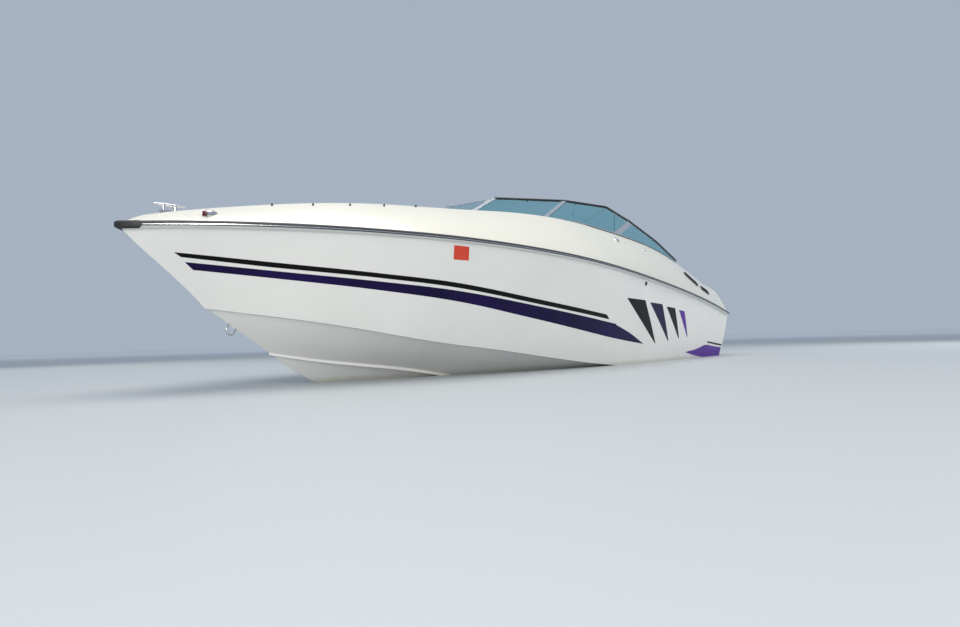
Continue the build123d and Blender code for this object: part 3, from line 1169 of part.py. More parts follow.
cylinder_foot = drive(CYLINDER_FOOT[0], 0, CYLINDER_FOOT[1])
cylinder_eye = drive(CYLINDER_EYE[0], 0, CYLINDER_EYE[1])
cylinder_way = (cylinder_eye - cylinder_foot).normalized()
cylinder_length = (cylinder_eye - cylinder_foot).length
end_half = Vector(0, CYLINDER_END_HALF, 0)
with BuildPart() as trim_cylinders:
    for side in (1, -1):
        foot = cylinder_foot + Vector(0, side * CYLINDER_Y, 0)
        mouth = cylinder_length * CYLINDER_SHARE
        rod(foot + cylinder_way * CYLINDER_END_RADIUS, foot + cylinder_way * mouth, CYLINDER_RADIUS)
        rod(foot + cylinder_way * (mouth - CYLINDER_CAP), foot + cylinder_way * mouth,
            CYLINDER_RADIUS + CYLINDER_CAP_PROUD)
        rod(foot + cylinder_way * CYLINDER_BORE_START, foot + cylinder_way * (mouth + 1),
            CYLINDER_ROD_RADIUS + PIN_GAP, mode=Mode.SUBTRACT)
        rod(foot - end_half, foot + end_half, CYLINDER_END_RADIUS)
        rod(foot, foot + cylinder_way * (CYLINDER_BORE_START - SOFT_GAP), CYLINDER_NECK)
        rod(foot - end_half * 2, foot + end_half * 2, CYLINDER_FOOT_PIN + PIN_GAP, mode=Mode.SUBTRACT)
trim_cylinders.part.label = "trim_cylinders"
with BuildPart() as trim_rods:
    for side in (1, -1):
        eye = cylinder_eye + Vector(0, side * CYLINDER_Y, 0)
        rod(eye - cylinder_way * (CYLINDER_END_RADIUS - 4 * PIN_GAP),
            cylinder_foot + Vector(0, side * CYLINDER_Y, 0) + cylinder_way * (CYLINDER_BORE_START + CYLINDER_SPARE),
            CYLINDER_ROD_RADIUS)
        rod(eye - end_half, eye + end_half, CYLINDER_END_RADIUS)
        rod(eye - end_half * 2, eye + end_half * 2, CYLINDER_EYE_BORE, mode=Mode.SUBTRACT)
trim_rods.part.label = "trim_rods"

# Tow eye on the stem, standing square to it
stem_low = on_boat(STEM[0][0], 0, STEM[0][1])
stem_high = on_boat(STEM[1][0], 0, STEM[1][1])
stem_way = (stem_high - stem_low).normalized()
stem_out = Vector(stem_way.Z, 0, -stem_way.X)
eye_middle = stem_low + stem_way * BOW_EYE_UP
with BuildPart() as bow_eye:
    corners = [eye_middle + stem_way * across + stem_out * out
               for across, out in ((-BOW_EYE_HALF, -BOW_EYE_ROOT), (-BOW_EYE_HALF, BOW_EYE_REACH),
                                   (BOW_EYE_HALF, BOW_EYE_REACH), (BOW_EYE_HALF, -BOW_EYE_ROOT))]
    swept_rail(corners, BOW_EYE_RADIUS, BOW_EYE_BEND)
    add(hull.part, mode=Mode.SUBTRACT)
bow_eye.part.label = "bow_eye"

# Deck fittings
with BuildPart() as cleats:
    for distance, y in CLEATS:
        height = deck_height(distance, y)
        middle = on_boat(distance, y, height + CLEAT_RISE)
        for shift in (-CLEAT_POST, CLEAT_POST):
            post = middle + Vector(shift, 0, 0)
            rod(post - Vector(0, 0, CLEAT_RISE + CLEAT_SINK), post, CLEAT_RADIUS)
        with Locations(middle - Vector(0, 0, CLEAT_RISE + CLEAT_SINK)):
            Box(*CLEAT_BASE, CLEAT_SINK + CLEAT_RADIUS / 2, align=(Align.CENTER, Align.CENTER, Align.MIN))
        with BuildSketch(Plane.XZ.offset(-middle.Y)) as horns:
            with BuildLine():
                Polyline((middle.X - CLEAT_HALF, middle.Z), (middle.X - CLEAT_HALF, middle.Z + CLEAT_TIP),
                         (middle.X - CLEAT_POST, middle.Z + CLEAT_RADIUS),
                         (middle.X + CLEAT_POST, middle.Z + CLEAT_RADIUS),
                         (middle.X + CLEAT_HALF, middle.Z + CLEAT_TIP), (middle.X + CLEAT_HALF, middle.Z),
                         close=True)
            make_face()
        revolve(horns.sketch, axis=Axis(middle, (1, 0, 0)))
    add(deck_cutter, mode=Mode.SUBTRACT)
cleats.part.label = "cleats"
with BuildPart() as bow_lights:
    light_middle, light_out = deck_side(BOW_LIGHT_DISTANCE, BOW_LIGHT_HEIGHT)
    with BuildSketch(Plane.XZ.offset(-light_middle.Y)) as body:
        with BuildLine():
            tail = (light_middle.X - BOW_LIGHT_TAIL, light_middle.Z)
            brim = (light_middle.X + BOW_LIGHT_FRONT, light_middle.Z + BOW_LIGHT_RADIUS)
            glass = (light_middle.X + BOW_LIGHT_FRONT, light_middle.Z + BOW_LIGHT_LENS)
            tip = (light_middle.X + BOW_LIGHT_FRONT + BOW_LIGHT_LENS / 2, light_middle.Z)
            ThreePointArc(tail, (light_middle.X - BOW_LIGHT_TAIL / 3, light_middle.Z + BOW_LIGHT_RADIUS), brim)
            Line(brim, glass)
            RadiusArc(glass, tip, BOW_LIGHT_DOME)
            Line(tip, tail)
        make_face()
    revolve(body.sketch, axis=Axis(light_middle, (1, 0, 0)))
    mirror(about=Plane.XZ)
    add(deck_cutter, mode=Mode.SUBTRACT)
bow_lights.part.label = "bow_lights"
with BuildPart() as stern_light_socket:
    with Locations((along(SOCKET_DISTANCE), wide(SOCKET_Y), SOCKET_FOOT_Z + SEAM_GAP)):
        Cylinder(SOCKET_RADIUS, SOCKET_LENGTH, align=(Align.CENTER, Align.CENTER, Align.MIN))
    with Locations((along(SOCKET_DISTANCE), wide(SOCKET_Y), SOCKET_FOOT_Z + SEAM_GAP + SOCKET_LENGTH)):
        Cylinder(SOCKET_BORE_RADIUS, SOCKET_BORE_DEPTH, align=(Align.CENTER, Align.CENTER, Align.MAX),
                 mode=Mode.SUBTRACT)
stern_light_socket.part.label = "stern_light_socket"
with BuildPart() as stern_eyes:
    for y, z in STERN_EYES:
        root = aft(SEAM_GAP, wide(y), z)
        with Locations(root):
            Box(*STERN_EYE_PLATE, align=(Align.MAX, Align.CENTER, Align.CENTER))
        start = root - Vector(STERN_EYE_PLATE[0] / 2, 0, 0)
        reach = root - Vector(STERN_EYE_REACH, 0, 0)
        rise = Vector(0, 0, STERN_EYE_HALF)
        swept_rail([start + rise, reach + rise, reach - rise, start - rise], STERN_EYE_BAR, STERN_EYE_BEND)
stern_eyes.part.label = "stern_eyes"
os.makedirs("parts", exist_ok=True)
pieces = [hull, deck, rub_rail, windshield_frame, port_front_glass, port_side_glass, starboard_front_glass,
          starboard_side_glass, windshield_door_frame, windshield_door_glass, helm_panel, passenger_panel,
          throttle_control, steering_wheel, seat_shells, *seat_pieces, bench_cushion, bench_back, *bow_pieces,
          engine_block, engine_hatch, hatch_hinges, sun_pad, hatch_strut_tubes, hatch_strut_rods, strut_brackets,
          engine_vents, swim_platform, boarding_ladder, gimbal_housing, drive_bellows, gimbal_ring, drive_leg,
          propeller, trim_cylinders, trim_rods, bow_eye, cleats, bow_lights, stern_light_socket, stern_eyes]
for piece in pieces:
    export_step(piece.part, f"parts/{piece.part.label}.step")
    print(piece.part.label, len(piece.part.solids()), piece.part.is_valid)
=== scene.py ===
"""Open-bow sterndrive speedboat, afloat: its finishes, graphics, glazing, upholstery and fittings.

Frame: +X towards the bow, +Y to port, +Z up, z = 0 at the water. Metres.
"""

import logging
import math
from collections.abc import Callable, Iterator, Sequence
from contextlib import contextmanager
from dataclasses import dataclass, field
from enum import Enum
from functools import cache

import bpy
from mathutils import Matrix, Vector
from mathutils.bvhtree import BVHTree


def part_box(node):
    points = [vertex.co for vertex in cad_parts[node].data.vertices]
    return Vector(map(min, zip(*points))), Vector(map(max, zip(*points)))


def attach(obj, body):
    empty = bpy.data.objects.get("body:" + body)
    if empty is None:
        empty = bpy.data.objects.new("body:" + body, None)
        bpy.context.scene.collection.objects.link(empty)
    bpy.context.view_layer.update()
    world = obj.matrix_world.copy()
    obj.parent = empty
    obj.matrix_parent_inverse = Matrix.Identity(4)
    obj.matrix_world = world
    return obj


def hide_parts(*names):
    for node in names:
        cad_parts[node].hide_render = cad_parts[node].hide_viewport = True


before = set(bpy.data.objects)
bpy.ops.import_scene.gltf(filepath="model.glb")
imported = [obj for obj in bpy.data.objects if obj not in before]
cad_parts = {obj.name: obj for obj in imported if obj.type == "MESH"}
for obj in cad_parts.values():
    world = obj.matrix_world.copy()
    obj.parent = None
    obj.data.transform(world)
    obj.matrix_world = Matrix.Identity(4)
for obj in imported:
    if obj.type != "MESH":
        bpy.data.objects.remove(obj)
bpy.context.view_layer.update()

LOG = logging.getLogger("speedboat")
RGB = tuple[float, float, float]
Point = tuple[float, float, float]
Spot = tuple[float, float]
Piece = bpy.types.Object
Socket = bpy.types.NodeSocket
# OUTSIDE is farther out than any surface of the boat: lines that look for one start there.
OUTSIDE = 4.0
TRANSOM_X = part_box("hull")[0].x
COCKPIT_HALF = 0.9
COCKPIT_AFT, COCKPIT_FORWARD = -2.6, -0.3
WALL_TOLERANCE = 0.01
RAIL_END_X = 3.605
SMOOTH_DEGREES = 35.0
ROUND_DEGREES = 60.0
MERGE_DISTANCE = 0.00002
PLASTIC_IOR = 1.5
AFT = Vector((-1, 0, 0))
STARBOARD_WAY = Vector((0, -1, 0))


class Body(Enum):
    """Bodies that the added pieces ride on."""

    BOAT = "boat"
    HATCH = "engine_hatch"
    WHEEL = "steering_wheel"
    LEG = "drive_leg"


class Side(Enum):
    """Sides of the boat, as the sign of Y."""

    PORT = 1
    STARBOARD = -1


# Handling of pieces


def put_down() -> None:
    """Leaves edit mode and deselects everything."""
    if bpy.context.object and bpy.context.object.mode != "OBJECT":
        bpy.ops.object.mode_set(mode="OBJECT")
    bpy.ops.object.select_all(action="DESELECT")


def pick(*pieces: Piece) -> None:
    """Selects these pieces alone.

    Args:
        pieces: The pieces; the first becomes the active one.
    """
    put_down()
    for piece in pieces:
        piece.select_set(True)
    bpy.context.view_layer.objects.active = pieces[0]


@contextmanager
def editing(piece: Piece, everything: bool = True) -> Iterator[None]:
    """Edit mode on one piece.

    Args:
        piece: The mesh to edit.
        everything: Whether all of it is selected, or only the faces marked before.
    """
    pick(piece)
    bpy.context.tool_settings.mesh_select_mode = (False, False, True)
    bpy.ops.object.mode_set(mode="EDIT")
    if everything:
        bpy.ops.mesh.select_all(action="SELECT")
    yield
    bpy.ops.object.mode_set(mode="OBJECT")


def mark_faces(piece: Piece, wanted: Callable[[Vector, Vector], bool]) -> None:
    """Selects the faces that pass a test, and nothing else.

    Args:
        piece: The mesh.
        wanted: Test of a face's middle and normal.
    """
    mesh = piece.data
    mesh.vertices.foreach_set("select", [False] * len(mesh.vertices))
    mesh.edges.foreach_set("select", [False] * len(mesh.edges))
    mesh.polygons.foreach_set("select", [wanted(face.center, face.normal) for face in mesh.polygons])


def seat(piece: Piece, name: str) -> Piece:
    """Puts a piece's place into its mesh, so that its object sits at the origin.

    Args:
        piece: The piece.
        name: The name that it and its mesh get.

    Returns:
        The same piece.
    """
    pick(piece)
    bpy.ops.object.transform_apply(location=True, rotation=True, scale=True)
    piece.name = name
    piece.data.name = name
    return piece


def apply(piece: Piece, kind: str, **settings: object) -> None:
    """Adds one modifier and applies it.

    Args:
        piece: The mesh.
        kind: The modifier's type.
        settings: The modifier's values.
    """
    pick(piece)
    modifier = piece.modifiers.new(kind.title(), kind)
    for key, value in settings.items():
        setattr(modifier, key, value)
    bpy.ops.object.modifier_apply(modifier=modifier.name)


def soften(piece: Piece, width: float, segments: int = 3) -> None:
    """Rounds a piece's edges and shades it smooth.

    Args:
        piece: The mesh.
        width: Width of the rounding.
        segments: Steps across it.
    """
    apply(piece, "BEVEL", width=width, segments=segments, limit_method="ANGLE",
          angle_limit=math.radians(SMOOTH_DEGREES), harden_normals=False)
    smooth(piece)


def smooth(piece: Piece, angle: float = SMOOTH_DEGREES) -> None:
    """Shades a piece smooth, with edges over the angle in degrees left sharp."""
    pick(piece)
    bpy.ops.object.shade_smooth_by_angle(angle=math.radians(angle))


def block(name: str, low: Sequence[float], high: Sequence[float]) -> Piece:
    """Block between two corners.

    Args:
        name: The piece's name.
        low: Its corner with the least numbers.
        high: The opposite corner.

    Returns:
        The block.
    """
    middle = [(a + b) / 2 for a, b in zip(low, high)]
    size = [b - a for a, b in zip(low, high)]
    put_down()
    bpy.ops.mesh.primitive_cube_add(size=1, location=middle, scale=size)
    return seat(bpy.context.object, name)


def turned(way: Vector) -> Matrix:
    """Turn that brings +Z to a direction."""
    return way.to_track_quat("Z", "Y").to_matrix().to_4x4()


def drum(name: str, start: Vector, way: Vector, length: float, radius: float, sides: int = 40) -> Piece:
    """Round bar.

    Args:
        name: The piece's name.
        start: The middle of its first end.
        way: The direction that it runs in.
        length: Its length.
        radius: Its radius.
        sides: How many faces go round it.

    Returns:
        The bar.
    """
    put_down()
    bpy.ops.mesh.primitive_cylinder_add(vertices=sides, radius=radius, depth=length)
    piece = bpy.context.object
    piece.matrix_world = Matrix.Translation(start + way.normalized() * length / 2) @ turned(way)
    return seat(piece, name)


def ring(name: str, centre: Vector, way: Vector, radius: float, bar: float) -> Piece:
    """Round ring.

    Args:
        name: The piece's name.
        centre: Its centre.
        way: Its axis.
        radius: Radius of the middle of its bar.
        bar: Half of the bar's thickness.

    Returns:
        The ring.
    """
    put_down()
    bpy.ops.mesh.primitive_torus_add(major_radius=radius, minor_radius=bar, major_segments=56,
                                     minor_segments=14)
    piece = bpy.context.object
    piece.matrix_world = Matrix.Translation(centre) @ turned(way)
    piece = seat(piece, name)
    smooth(piece, ROUND_DEGREES)
    return piece


def joined(name: str, pieces: Sequence[Piece]) -> Piece:
    """Several pieces as one mesh.

    Args:
        name: The name of the whole.
        pieces: The pieces to join.

    Returns:
        The whole.
    """
    pick(*pieces)
    bpy.ops.object.join()
    return seat(bpy.context.object, name)


def copy_of(node: str, name: str) -> Piece:
    """A node's shape as a merged mesh of its own.

    Args:
        node: The node of the frame.
        name: The copy's name.

    Returns:
        The copy.
    """
    piece = bpy.data.objects.new(name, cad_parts[node].data.copy())
    bpy.context.scene.collection.objects.link(piece)
    piece.data.materials.clear()
    with editing(piece):
        bpy.ops.mesh.customdata_custom_splitnormals_clear()
        bpy.ops.mesh.remove_doubles(threshold=MERGE_DISTANCE)
    return piece


def dress(piece: Piece, body: Body, *materials: bpy.types.Material) -> None:
    """Gives a piece its materials and the body that it rides on.

    Args:
        piece: The piece.
        body: The body.
        materials: The materials, in the order of their slots.
    """
    piece.data.materials.clear()
    for material in materials:
        piece.data.materials.append(material)
    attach(piece, body.value)
    LOG.info("%s rides on %s", piece.name, body.value)


def finish_node(node: str, *materials: bpy.types.Material,
                choose: Callable[[Vector, Vector], int] | None = None) -> None:
    """Gives a node of the frame its materials.

    Args:
        node: The node's name.
        materials: Its materials, the first one for faces not chosen otherwise.
        choose: Gives the material's number from a face's middle and normal.
    """
    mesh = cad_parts[node].data
    mesh.materials.clear()
    for material in materials:
        mesh.materials.append(material)
    numbers = [choose(face.center, face.normal) if choose else 0 for face in mesh.polygons]
    mesh.polygons.foreach_set("material_index", numbers)
    LOG.info("%s is finished in %s", node, ", ".join(m.name for m in materials))


class Probe:
    """Finds where straight lines meet nodes of the frame."""

    def __init__(self, *nodes: str) -> None:
        """Takes the nodes' surfaces.

        Args:
            nodes: The nodes to probe.
        """
        self.trees = []
        for node in nodes:
            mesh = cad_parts[node].data
            places = [vertex.co for vertex in mesh.vertices]
            self.trees.append(BVHTree.FromPolygons(places, [tuple(f.vertices) for f in mesh.polygons]))

    def meet(self, start: Sequence[float], way: Sequence[float]) -> tuple[Vector, Vector]:
        """First point and outward normal that a line meets.

        Args:
            start: Where the line starts.
            way: Its direction.

        Returns:
            The point and the surface's normal there, turned towards the start.
        """
        found = [tree.ray_cast(Vector(start), Vector(way).normalized()) for tree in self.trees]
        found = sorted((hit for hit in found if hit[0] is not None), key=lambda hit: hit[3])
        if not found:
            raise ValueError(f"no surface from {tuple(start)} along {tuple(way)}")
        point, normal = found[0][:2]
        return point, normal if normal.dot(Vector(way)) < 0 else -normal

    def above(self, x: float, y: float) -> tuple[Vector, Vector]:
        """Highest surface over a point of the plan."""
        return self.meet((x, y, OUTSIDE), (0, 0, -1))

    def beside(self, x: float, z: float, side: Side) -> tuple[Vector, Vector]:
        """Outermost surface on one side, at a place along the boat and a height."""
        return self.meet((x, side.value * OUTSIDE, z), (0, -side.value, 0))


# Finishes


@dataclass(frozen=True)
class Cloud:
    """Cloudy noise: its scale and detail, and the part of its range that is spread out."""

    scale: float
    detail: float
    low: float = 0.3
    high: float = 0.7


@dataclass(frozen=True)
class Grain:
    """Relief drawn with noise: its scale and detail, its depth in metres and its strength."""

    scale: float
    detail: float
    depth: float
    strength: float


class Shader:
    """A material's node tree, with short words for what the finishes share."""

    def __init__(self, name: str) -> None:
        """Starts a material on object coordinates.

        Args:
            name: The material's name.
        """
        self.material = bpy.data.materials.new(name)
        self.material.use_nodes = True
        self.tree = self.material.node_tree
        self.surface = self.tree.nodes["Principled BSDF"]
        self.object = self.node("ShaderNodeTexCoord").outputs["Object"]

    def feed(self, target: Socket, value: object) -> None:
        """Links an input to a socket, or gives it a value.

        Args:
            target: The input.
            value: A socket or a value; a colour without its alpha is opaque.
        """
        if isinstance(value, Socket):
            self.tree.links.new(value, target)
        else:
            target.default_value = (*value, 1.0) if target.type == "RGBA" else value

    def node(self, kind: str, inputs: dict[str | int, object] | None = None,
             **settings: object) -> bpy.types.Node:
        """Adds a node.

        Args:
            kind: The node's type.
            inputs: Values or sockets for its inputs, by name or number.
            settings: Values of the node itself.

        Returns:
            The node.
        """
        made = self.tree.nodes.new(kind)
        for key, value in settings.items():
            setattr(made, key, value)
        for key, value in (inputs or {}).items():
            self.feed(made.inputs[key], value)
        return made

    def set(self, **values: object) -> None:
        """Feeds inputs of the surface, named in lower case with underscores."""
        names = {socket.name.lower().replace(" ", "_"): socket for socket in self.surface.inputs}
        for key, value in values.items():
            self.feed(names[key], value)

    def scaled(self, scale: Point) -> Socket:
        """Object coordinates, scaled along each axis."""
        return self.node("ShaderNodeMapping", {"Vector": self.object, "Scale": scale}).outputs[0]

    def noise(self, scale: float, detail: float, vector: Socket | None = None) -> Socket:
        """Cloudy noise from 0 to 1."""
        inputs = {"Vector": vector or self.object, "Scale": scale, "Detail": detail}
        return self.node("ShaderNodeTexNoise", inputs).outputs["Fac"]

    def cells(self, scale: float) -> Socket:
        """Distance to the middle of the nearest cell."""
        inputs = {"Vector": self.object, "Scale": scale}
        return self.node("ShaderNodeTexVoronoi", inputs, feature="F1").outputs["Distance"]

    def math(self, operation: str, *values: object) -> Socket:
        """Sum on sockets or numbers."""
        return self.node("ShaderNodeMath", dict(enumerate(values)), operation=operation).outputs[0]

    def ranged(self, value: Socket, low: float, high: float, to_low: float = 0, to_high: float = 1) -> Socket:
        """Value mapped smoothly from one range to another."""
        inputs = {"Value": value, "From Min": low, "From Max": high, "To Min": to_low, "To Max": to_high}
        return self.node("ShaderNodeMapRange", inputs, interpolation_type="SMOOTHSTEP").outputs[0]

    def clouds(self, cloud: Cloud, to_low: float = 0, to_high: float = 1) -> Socket:
        """Cloudy noise spread over a range."""
        return self.ranged(self.noise(cloud.scale, cloud.detail), cloud.low, cloud.high, to_low, to_high)

    def mix(self, share: object, first: object, second: object) -> Socket:
        """Colour between two colours.

        Args:
            share: How much of the second one, as a socket or number.
            first: The first colour.
            second: The second colour.

        Returns:
            The colour.
        """
        return self.node("ShaderNodeMix", {0: share, 6: first, 7: second}, data_type="RGBA").outputs[2]

    def axis(self, name: str) -> Socket:
        """One of the object coordinates."""
        return self.node("ShaderNodeSeparateXYZ", {0: self.object}).outputs[name]

    def grained(self, grain: Grain) -> tuple[Socket, float, float]:
        """Layer of relief drawn with noise."""
        return self.noise(grain.scale, grain.detail), grain.depth, grain.strength

    def relief(self, *layers: tuple[Socket, float, float], round_edges: float = 0) -> None:
        """Relief on the surface.

        Args:
            layers: Height from 0 to 1, its depth in metres and its strength.
            round_edges: Radius that sharp edges seem to have, in metres.
        """
        normal = None
        if round_edges:
            normal = self.node("ShaderNodeBevel", {"Radius": round_edges}, samples=4).outputs[0]
        for height, depth, strength in layers:
            inputs = {"Height": height, "Distance": depth, "Strength": strength}
            if normal is not None:
                inputs["Normal"] = normal
            normal = self.node("ShaderNodeBump", inputs).outputs[0]
        self.set(normal=normal)


def shade(colour: RGB, share: float) -> RGB:
    """A colour made darker or lighter."""
    return tuple(min(1.0, channel * share) for channel in colour)


@dataclass(frozen=True)
class Finish:
    """What a surface is finished in; each kind draws its own pattern."""

    name: str

    @cache
    def material(self) -> bpy.types.Material:
        """Makes the material once.

        Returns:
            The material.
        """
        shader = Shader(self.name)
        self.draw(shader)
        return shader.material

    def draw(self, s: Shader) -> None:
        """Draws the colour, the polish and the relief.

        Args:
            s: The shader to draw with.
        """
        raise NotImplementedError


@dataclass(frozen=True)
class Gelcoat(Finish):
    """Polished moulded gelcoat, with faint mottling, orange peel and a darker yellowish band at the water."""

    colour: RGB
    tide_top: float = 0.035
    tide_foot: float = -0.01
    tide_share: float = 0.4
    tide_ripple: float = -0.03
    waterline_tint: RGB = (0.42, 0.40, 0.26)
    ripples: Cloud = Cloud(9, 4)
    mottling: Cloud = Cloud(1.7, 4, 0.35, 0.65)
    mottled_shade: float = 0.965
    wear: Cloud = Cloud(30, 3)
    roughness: Spot = (0.16, 0.24)
    coat: float = 0.6
    coat_roughness: float = 0.04
    orange_peel: Grain = Grain(420, 2, 0.0004, 0.05)
    waviness: Grain = Grain(3.1, 1, 0.02, 0.02)
    edge_radius: float = 0.004

    def draw(self, s: Shader) -> None:
        """Draws the colour, the polish and the relief.

        Args:
            s: The shader to draw with.
        """
        mottled = s.mix(s.clouds(self.mottling), shade(self.colour, self.mottled_shade), self.colour)
        # Darker yellowish band at the water line, fading out between tide_foot and tide_top.
        ripple = s.math("MULTIPLY", s.noise(self.ripples.scale, self.ripples.detail), self.tide_ripple)
        height = s.math("ADD", s.axis("Z"), ripple)
        tide = s.math("MULTIPLY", s.ranged(height, self.tide_foot, self.tide_top, 1, 0), self.tide_share)
        s.set(base_color=s.mix(tide, mottled, self.waterline_tint), roughness=s.clouds(self.wear, *self.roughness),
              coat_weight=self.coat, coat_roughness=self.coat_roughness, ior=PLASTIC_IOR)
        s.relief(s.grained(self.orange_peel), s.grained(self.waviness), round_edges=self.edge_radius)


@dataclass(frozen=True)
class Film(Finish):
    """Glossy coloured film laid on the gelcoat, a little uneven in tone."""

    colour: RGB
    fade: RGB
    fading: Cloud = Cloud(2.4, 3)
    wear: Cloud = Cloud(60, 3)
    roughness: Spot = (0.28, 0.38)
    specular: float = 0.12
    peel: Grain = Grain(500, 2, 0.0003, 0.06)

    def draw(self, s: Shader) -> None:
        """Draws the colour, the polish and the relief.

        Args:
            s: The shader to draw with.
        """
        s.set(base_color=s.mix(s.clouds(self.fading), self.fade, self.colour),
              roughness=s.clouds(self.wear, *self.roughness), specular_ior_level=self.specular)
        s.relief(s.grained(self.peel))


@dataclass(frozen=True)
class Rubber(Finish):
    """Extruded rubber or soft plastic, with drawn lines along it and pale scuffs."""

    colour: RGB
    roughness: float = 0.55
    roughness_spread: float = 0.08
    scuffs: Cloud = Cloud(14, 5, 0.62, 0.75)
    scuff_shade: float = 1.7
    lines: Cloud = Cloud(60, 3)
    lines_stretch: Point = (0.05, 1, 6)
    lines_depth: float = 0.0006
    lines_strength: float = 0.12
    pores: Grain = Grain(900, 2, 0.0002, 0.1)

    def draw(self, s: Shader) -> None:
        """Draws the colour, the polish and the relief.

        Args:
            s: The shader to draw with.
        """
        lines = s.noise(self.lines.scale, self.lines.detail, s.scaled(self.lines_stretch))
        spread = self.roughness_spread
        s.set(base_color=s.mix(s.clouds(self.scuffs), self.colour, shade(self.colour, self.scuff_shade)),
              roughness=s.ranged(lines, self.lines.low, self.lines.high, self.roughness - spread,
                                 self.roughness + spread))
        s.relief((lines, self.lines_depth, self.lines_strength), s.grained(self.pores))


@dataclass(frozen=True)
class Metal(Finish):
    """Bare metal, brushed along one direction or polished, with fine handling marks."""

    colour: RGB
    roughness: float
    stretch: Point = (1, 1, 1)
    brushing: Cloud = Cloud(180, 3)
    brushing_spread: float = 0.05
    brushing_depth: float = 0.0003
    brushing_strength: float = 0.06
    marks: Cloud = Cloud(22, 6, 0.35, 0.7)
    rough_marks: Spot = (0.4, 0.8)
    marks_roughness: float = 0.06
    marked_shade: float = 0.88

    def draw(self, s: Shader) -> None:
        """Draws the colour, the polish and the relief.

        Args:
            s: The shader to draw with.
        """
        brushing = s.noise(self.brushing.scale, self.brushing.detail, s.scaled(self.stretch))
        marks = s.noise(self.marks.scale, self.marks.detail)
        rough = s.math("ADD", s.ranged(brushing, self.brushing.low, self.brushing.high, -self.brushing_spread,
                                       self.brushing_spread),
                       s.ranged(marks, *self.rough_marks, 0, self.marks_roughness))
        s.set(metallic=1.0, roughness=s.math("ADD", rough, self.roughness),
              base_color=s.mix(s.ranged(marks, self.marks.low, self.marks.high), self.colour,
                               shade(self.colour, self.marked_shade)))
        s.relief((brushing, self.brushing_depth, self.brushing_strength))


@dataclass(frozen=True)
class Coated(Finish):
    """Painted or powder-coated metal or moulded plastic, with a fine orange peel."""

    colour: RGB
    roughness: float
    grain: float = 420
    grain_detail: float = 2
    grain_depth: float = 0.0004
    grain_strength: float = 0.12
    tone: Cloud = Cloud(7, 4)
    dark_shade: float = 0.85
    wear: Cloud = Cloud(40, 4)
    roughness_spread: Spot = (-0.05, 0.07)
    edge_radius: float = 0.0015

    def draw(self, s: Shader) -> None:
        """Draws the colour, the polish and the relief.

        Args:
            s: The shader to draw with.
        """
        s.set(base_color=s.mix(s.clouds(self.tone), shade(self.colour, self.dark_shade), self.colour),
              roughness=s.clouds(self.wear, *(self.roughness + more for more in self.roughness_spread)))
        s.relief((s.noise(self.grain, self.grain_detail), self.grain_depth, self.grain_strength),
                 round_edges=self.edge_radius)


@dataclass(frozen=True)
class Glass(Finish):
    """Tinted safety glass, faintly uneven."""

    tint: RGB
    ior: float = 1.45
    haze: Cloud = Cloud(6, 5, 0.4, 0.75)
    haze_roughness: float = 0.05
    waviness: Grain = Grain(5, 1, 0.002, 0.02)

    def draw(self, s: Shader) -> None:
        """Draws the colour, the polish and the relief.

        Args:
            s: The shader to draw with.
        """
        s.set(base_color=self.tint, transmission_weight=1.0, ior=self.ior,
              roughness=s.clouds(self.haze, 0, self.haze_roughness))
        s.relief(s.grained(self.waviness))


@dataclass(frozen=True)
class Upholstery(Finish):
    """Marine vinyl with a leather grain, a soft sheen and slight wear."""

    colour: RGB
    pores: float = 520
    pores_depth: float = 0.0008
    pores_strength: float = 0.25
    creases: Cloud = Cloud(130, 5)
    creases_depth: float = 0.0012
    creases_strength: float = 0.12
    roughness: Spot = (0.4, 0.52)
    wear: Cloud = Cloud(4.5, 4, 0.35, 0.7)
    worn_shade: float = 0.9
    sheen: float = 0.15
    sheen_roughness: float = 0.4

    def draw(self, s: Shader) -> None:
        """Draws the colour, the polish and the relief.

        Args:
            s: The shader to draw with.
        """
        creases = s.noise(self.creases.scale, self.creases.detail)
        s.set(base_color=s.mix(s.clouds(self.wear), self.colour, shade(self.colour, self.worn_shade)),
              roughness=s.ranged(creases, self.creases.low, self.creases.high, *self.roughness),
              sheen_weight=self.sheen, sheen_roughness=self.sheen_roughness)
        s.relief((s.cells(self.pores), self.pores_depth, self.pores_strength),
                 (creases, self.creases_depth, self.creases_strength))


@dataclass(frozen=True)
class SidePanel(Finish):
    """Padded vinyl panel over a carpeted foot, with a coloured band between two sewn lines."""

    colour: RGB
    band: RGB
    foot: RGB
    foot_top: float = 0.60
    band_low: float = 0.80
    band_high: float = 0.88
    edge: float = 0.003
    seam_width: float = 0.008
    seam_depth: float = 0.006
    seam_strength: float = 0.8
    roughness: Spot = (0.45, 0.9)
    sheen: float = 0.15
    sheen_roughness: float = 0.4
    pores: float = 420
    pores_depth: float = 0.001
    pores_strength: float = 0.25
    stuffing: Grain = Grain(6, 2, 0.01, 0.08)

    def draw(self, s: Shader) -> None:
        """Draws the colour, the polish and the relief.

        Args:
            s: The shader to draw with.
        """
        height = s.axis("Z")
        inside = s.math("MULTIPLY", s.ranged(height, self.band_low, self.band_low + self.edge),
                        s.ranged(height, self.band_high, self.band_high + self.edge, 1, 0))
        foot = s.ranged(height, self.foot_top, self.foot_top + self.edge, 1, 0)
        seams = [s.ranged(s.math("ABSOLUTE", s.math("SUBTRACT", height, level)), 0, self.seam_width)
                 for level in (self.foot_top, self.band_low, self.band_high)]
        s.set(base_color=s.mix(foot, s.mix(inside, self.colour, self.band), self.foot),
              roughness=s.ranged(foot, 0, 1, *self.roughness),
              sheen_weight=self.sheen, sheen_roughness=self.sheen_roughness)
        s.relief(*((seam, self.seam_depth, self.seam_strength) for seam in seams),
                 (s.cells(self.pores), self.pores_depth, self.pores_strength), s.grained(self.stuffing))


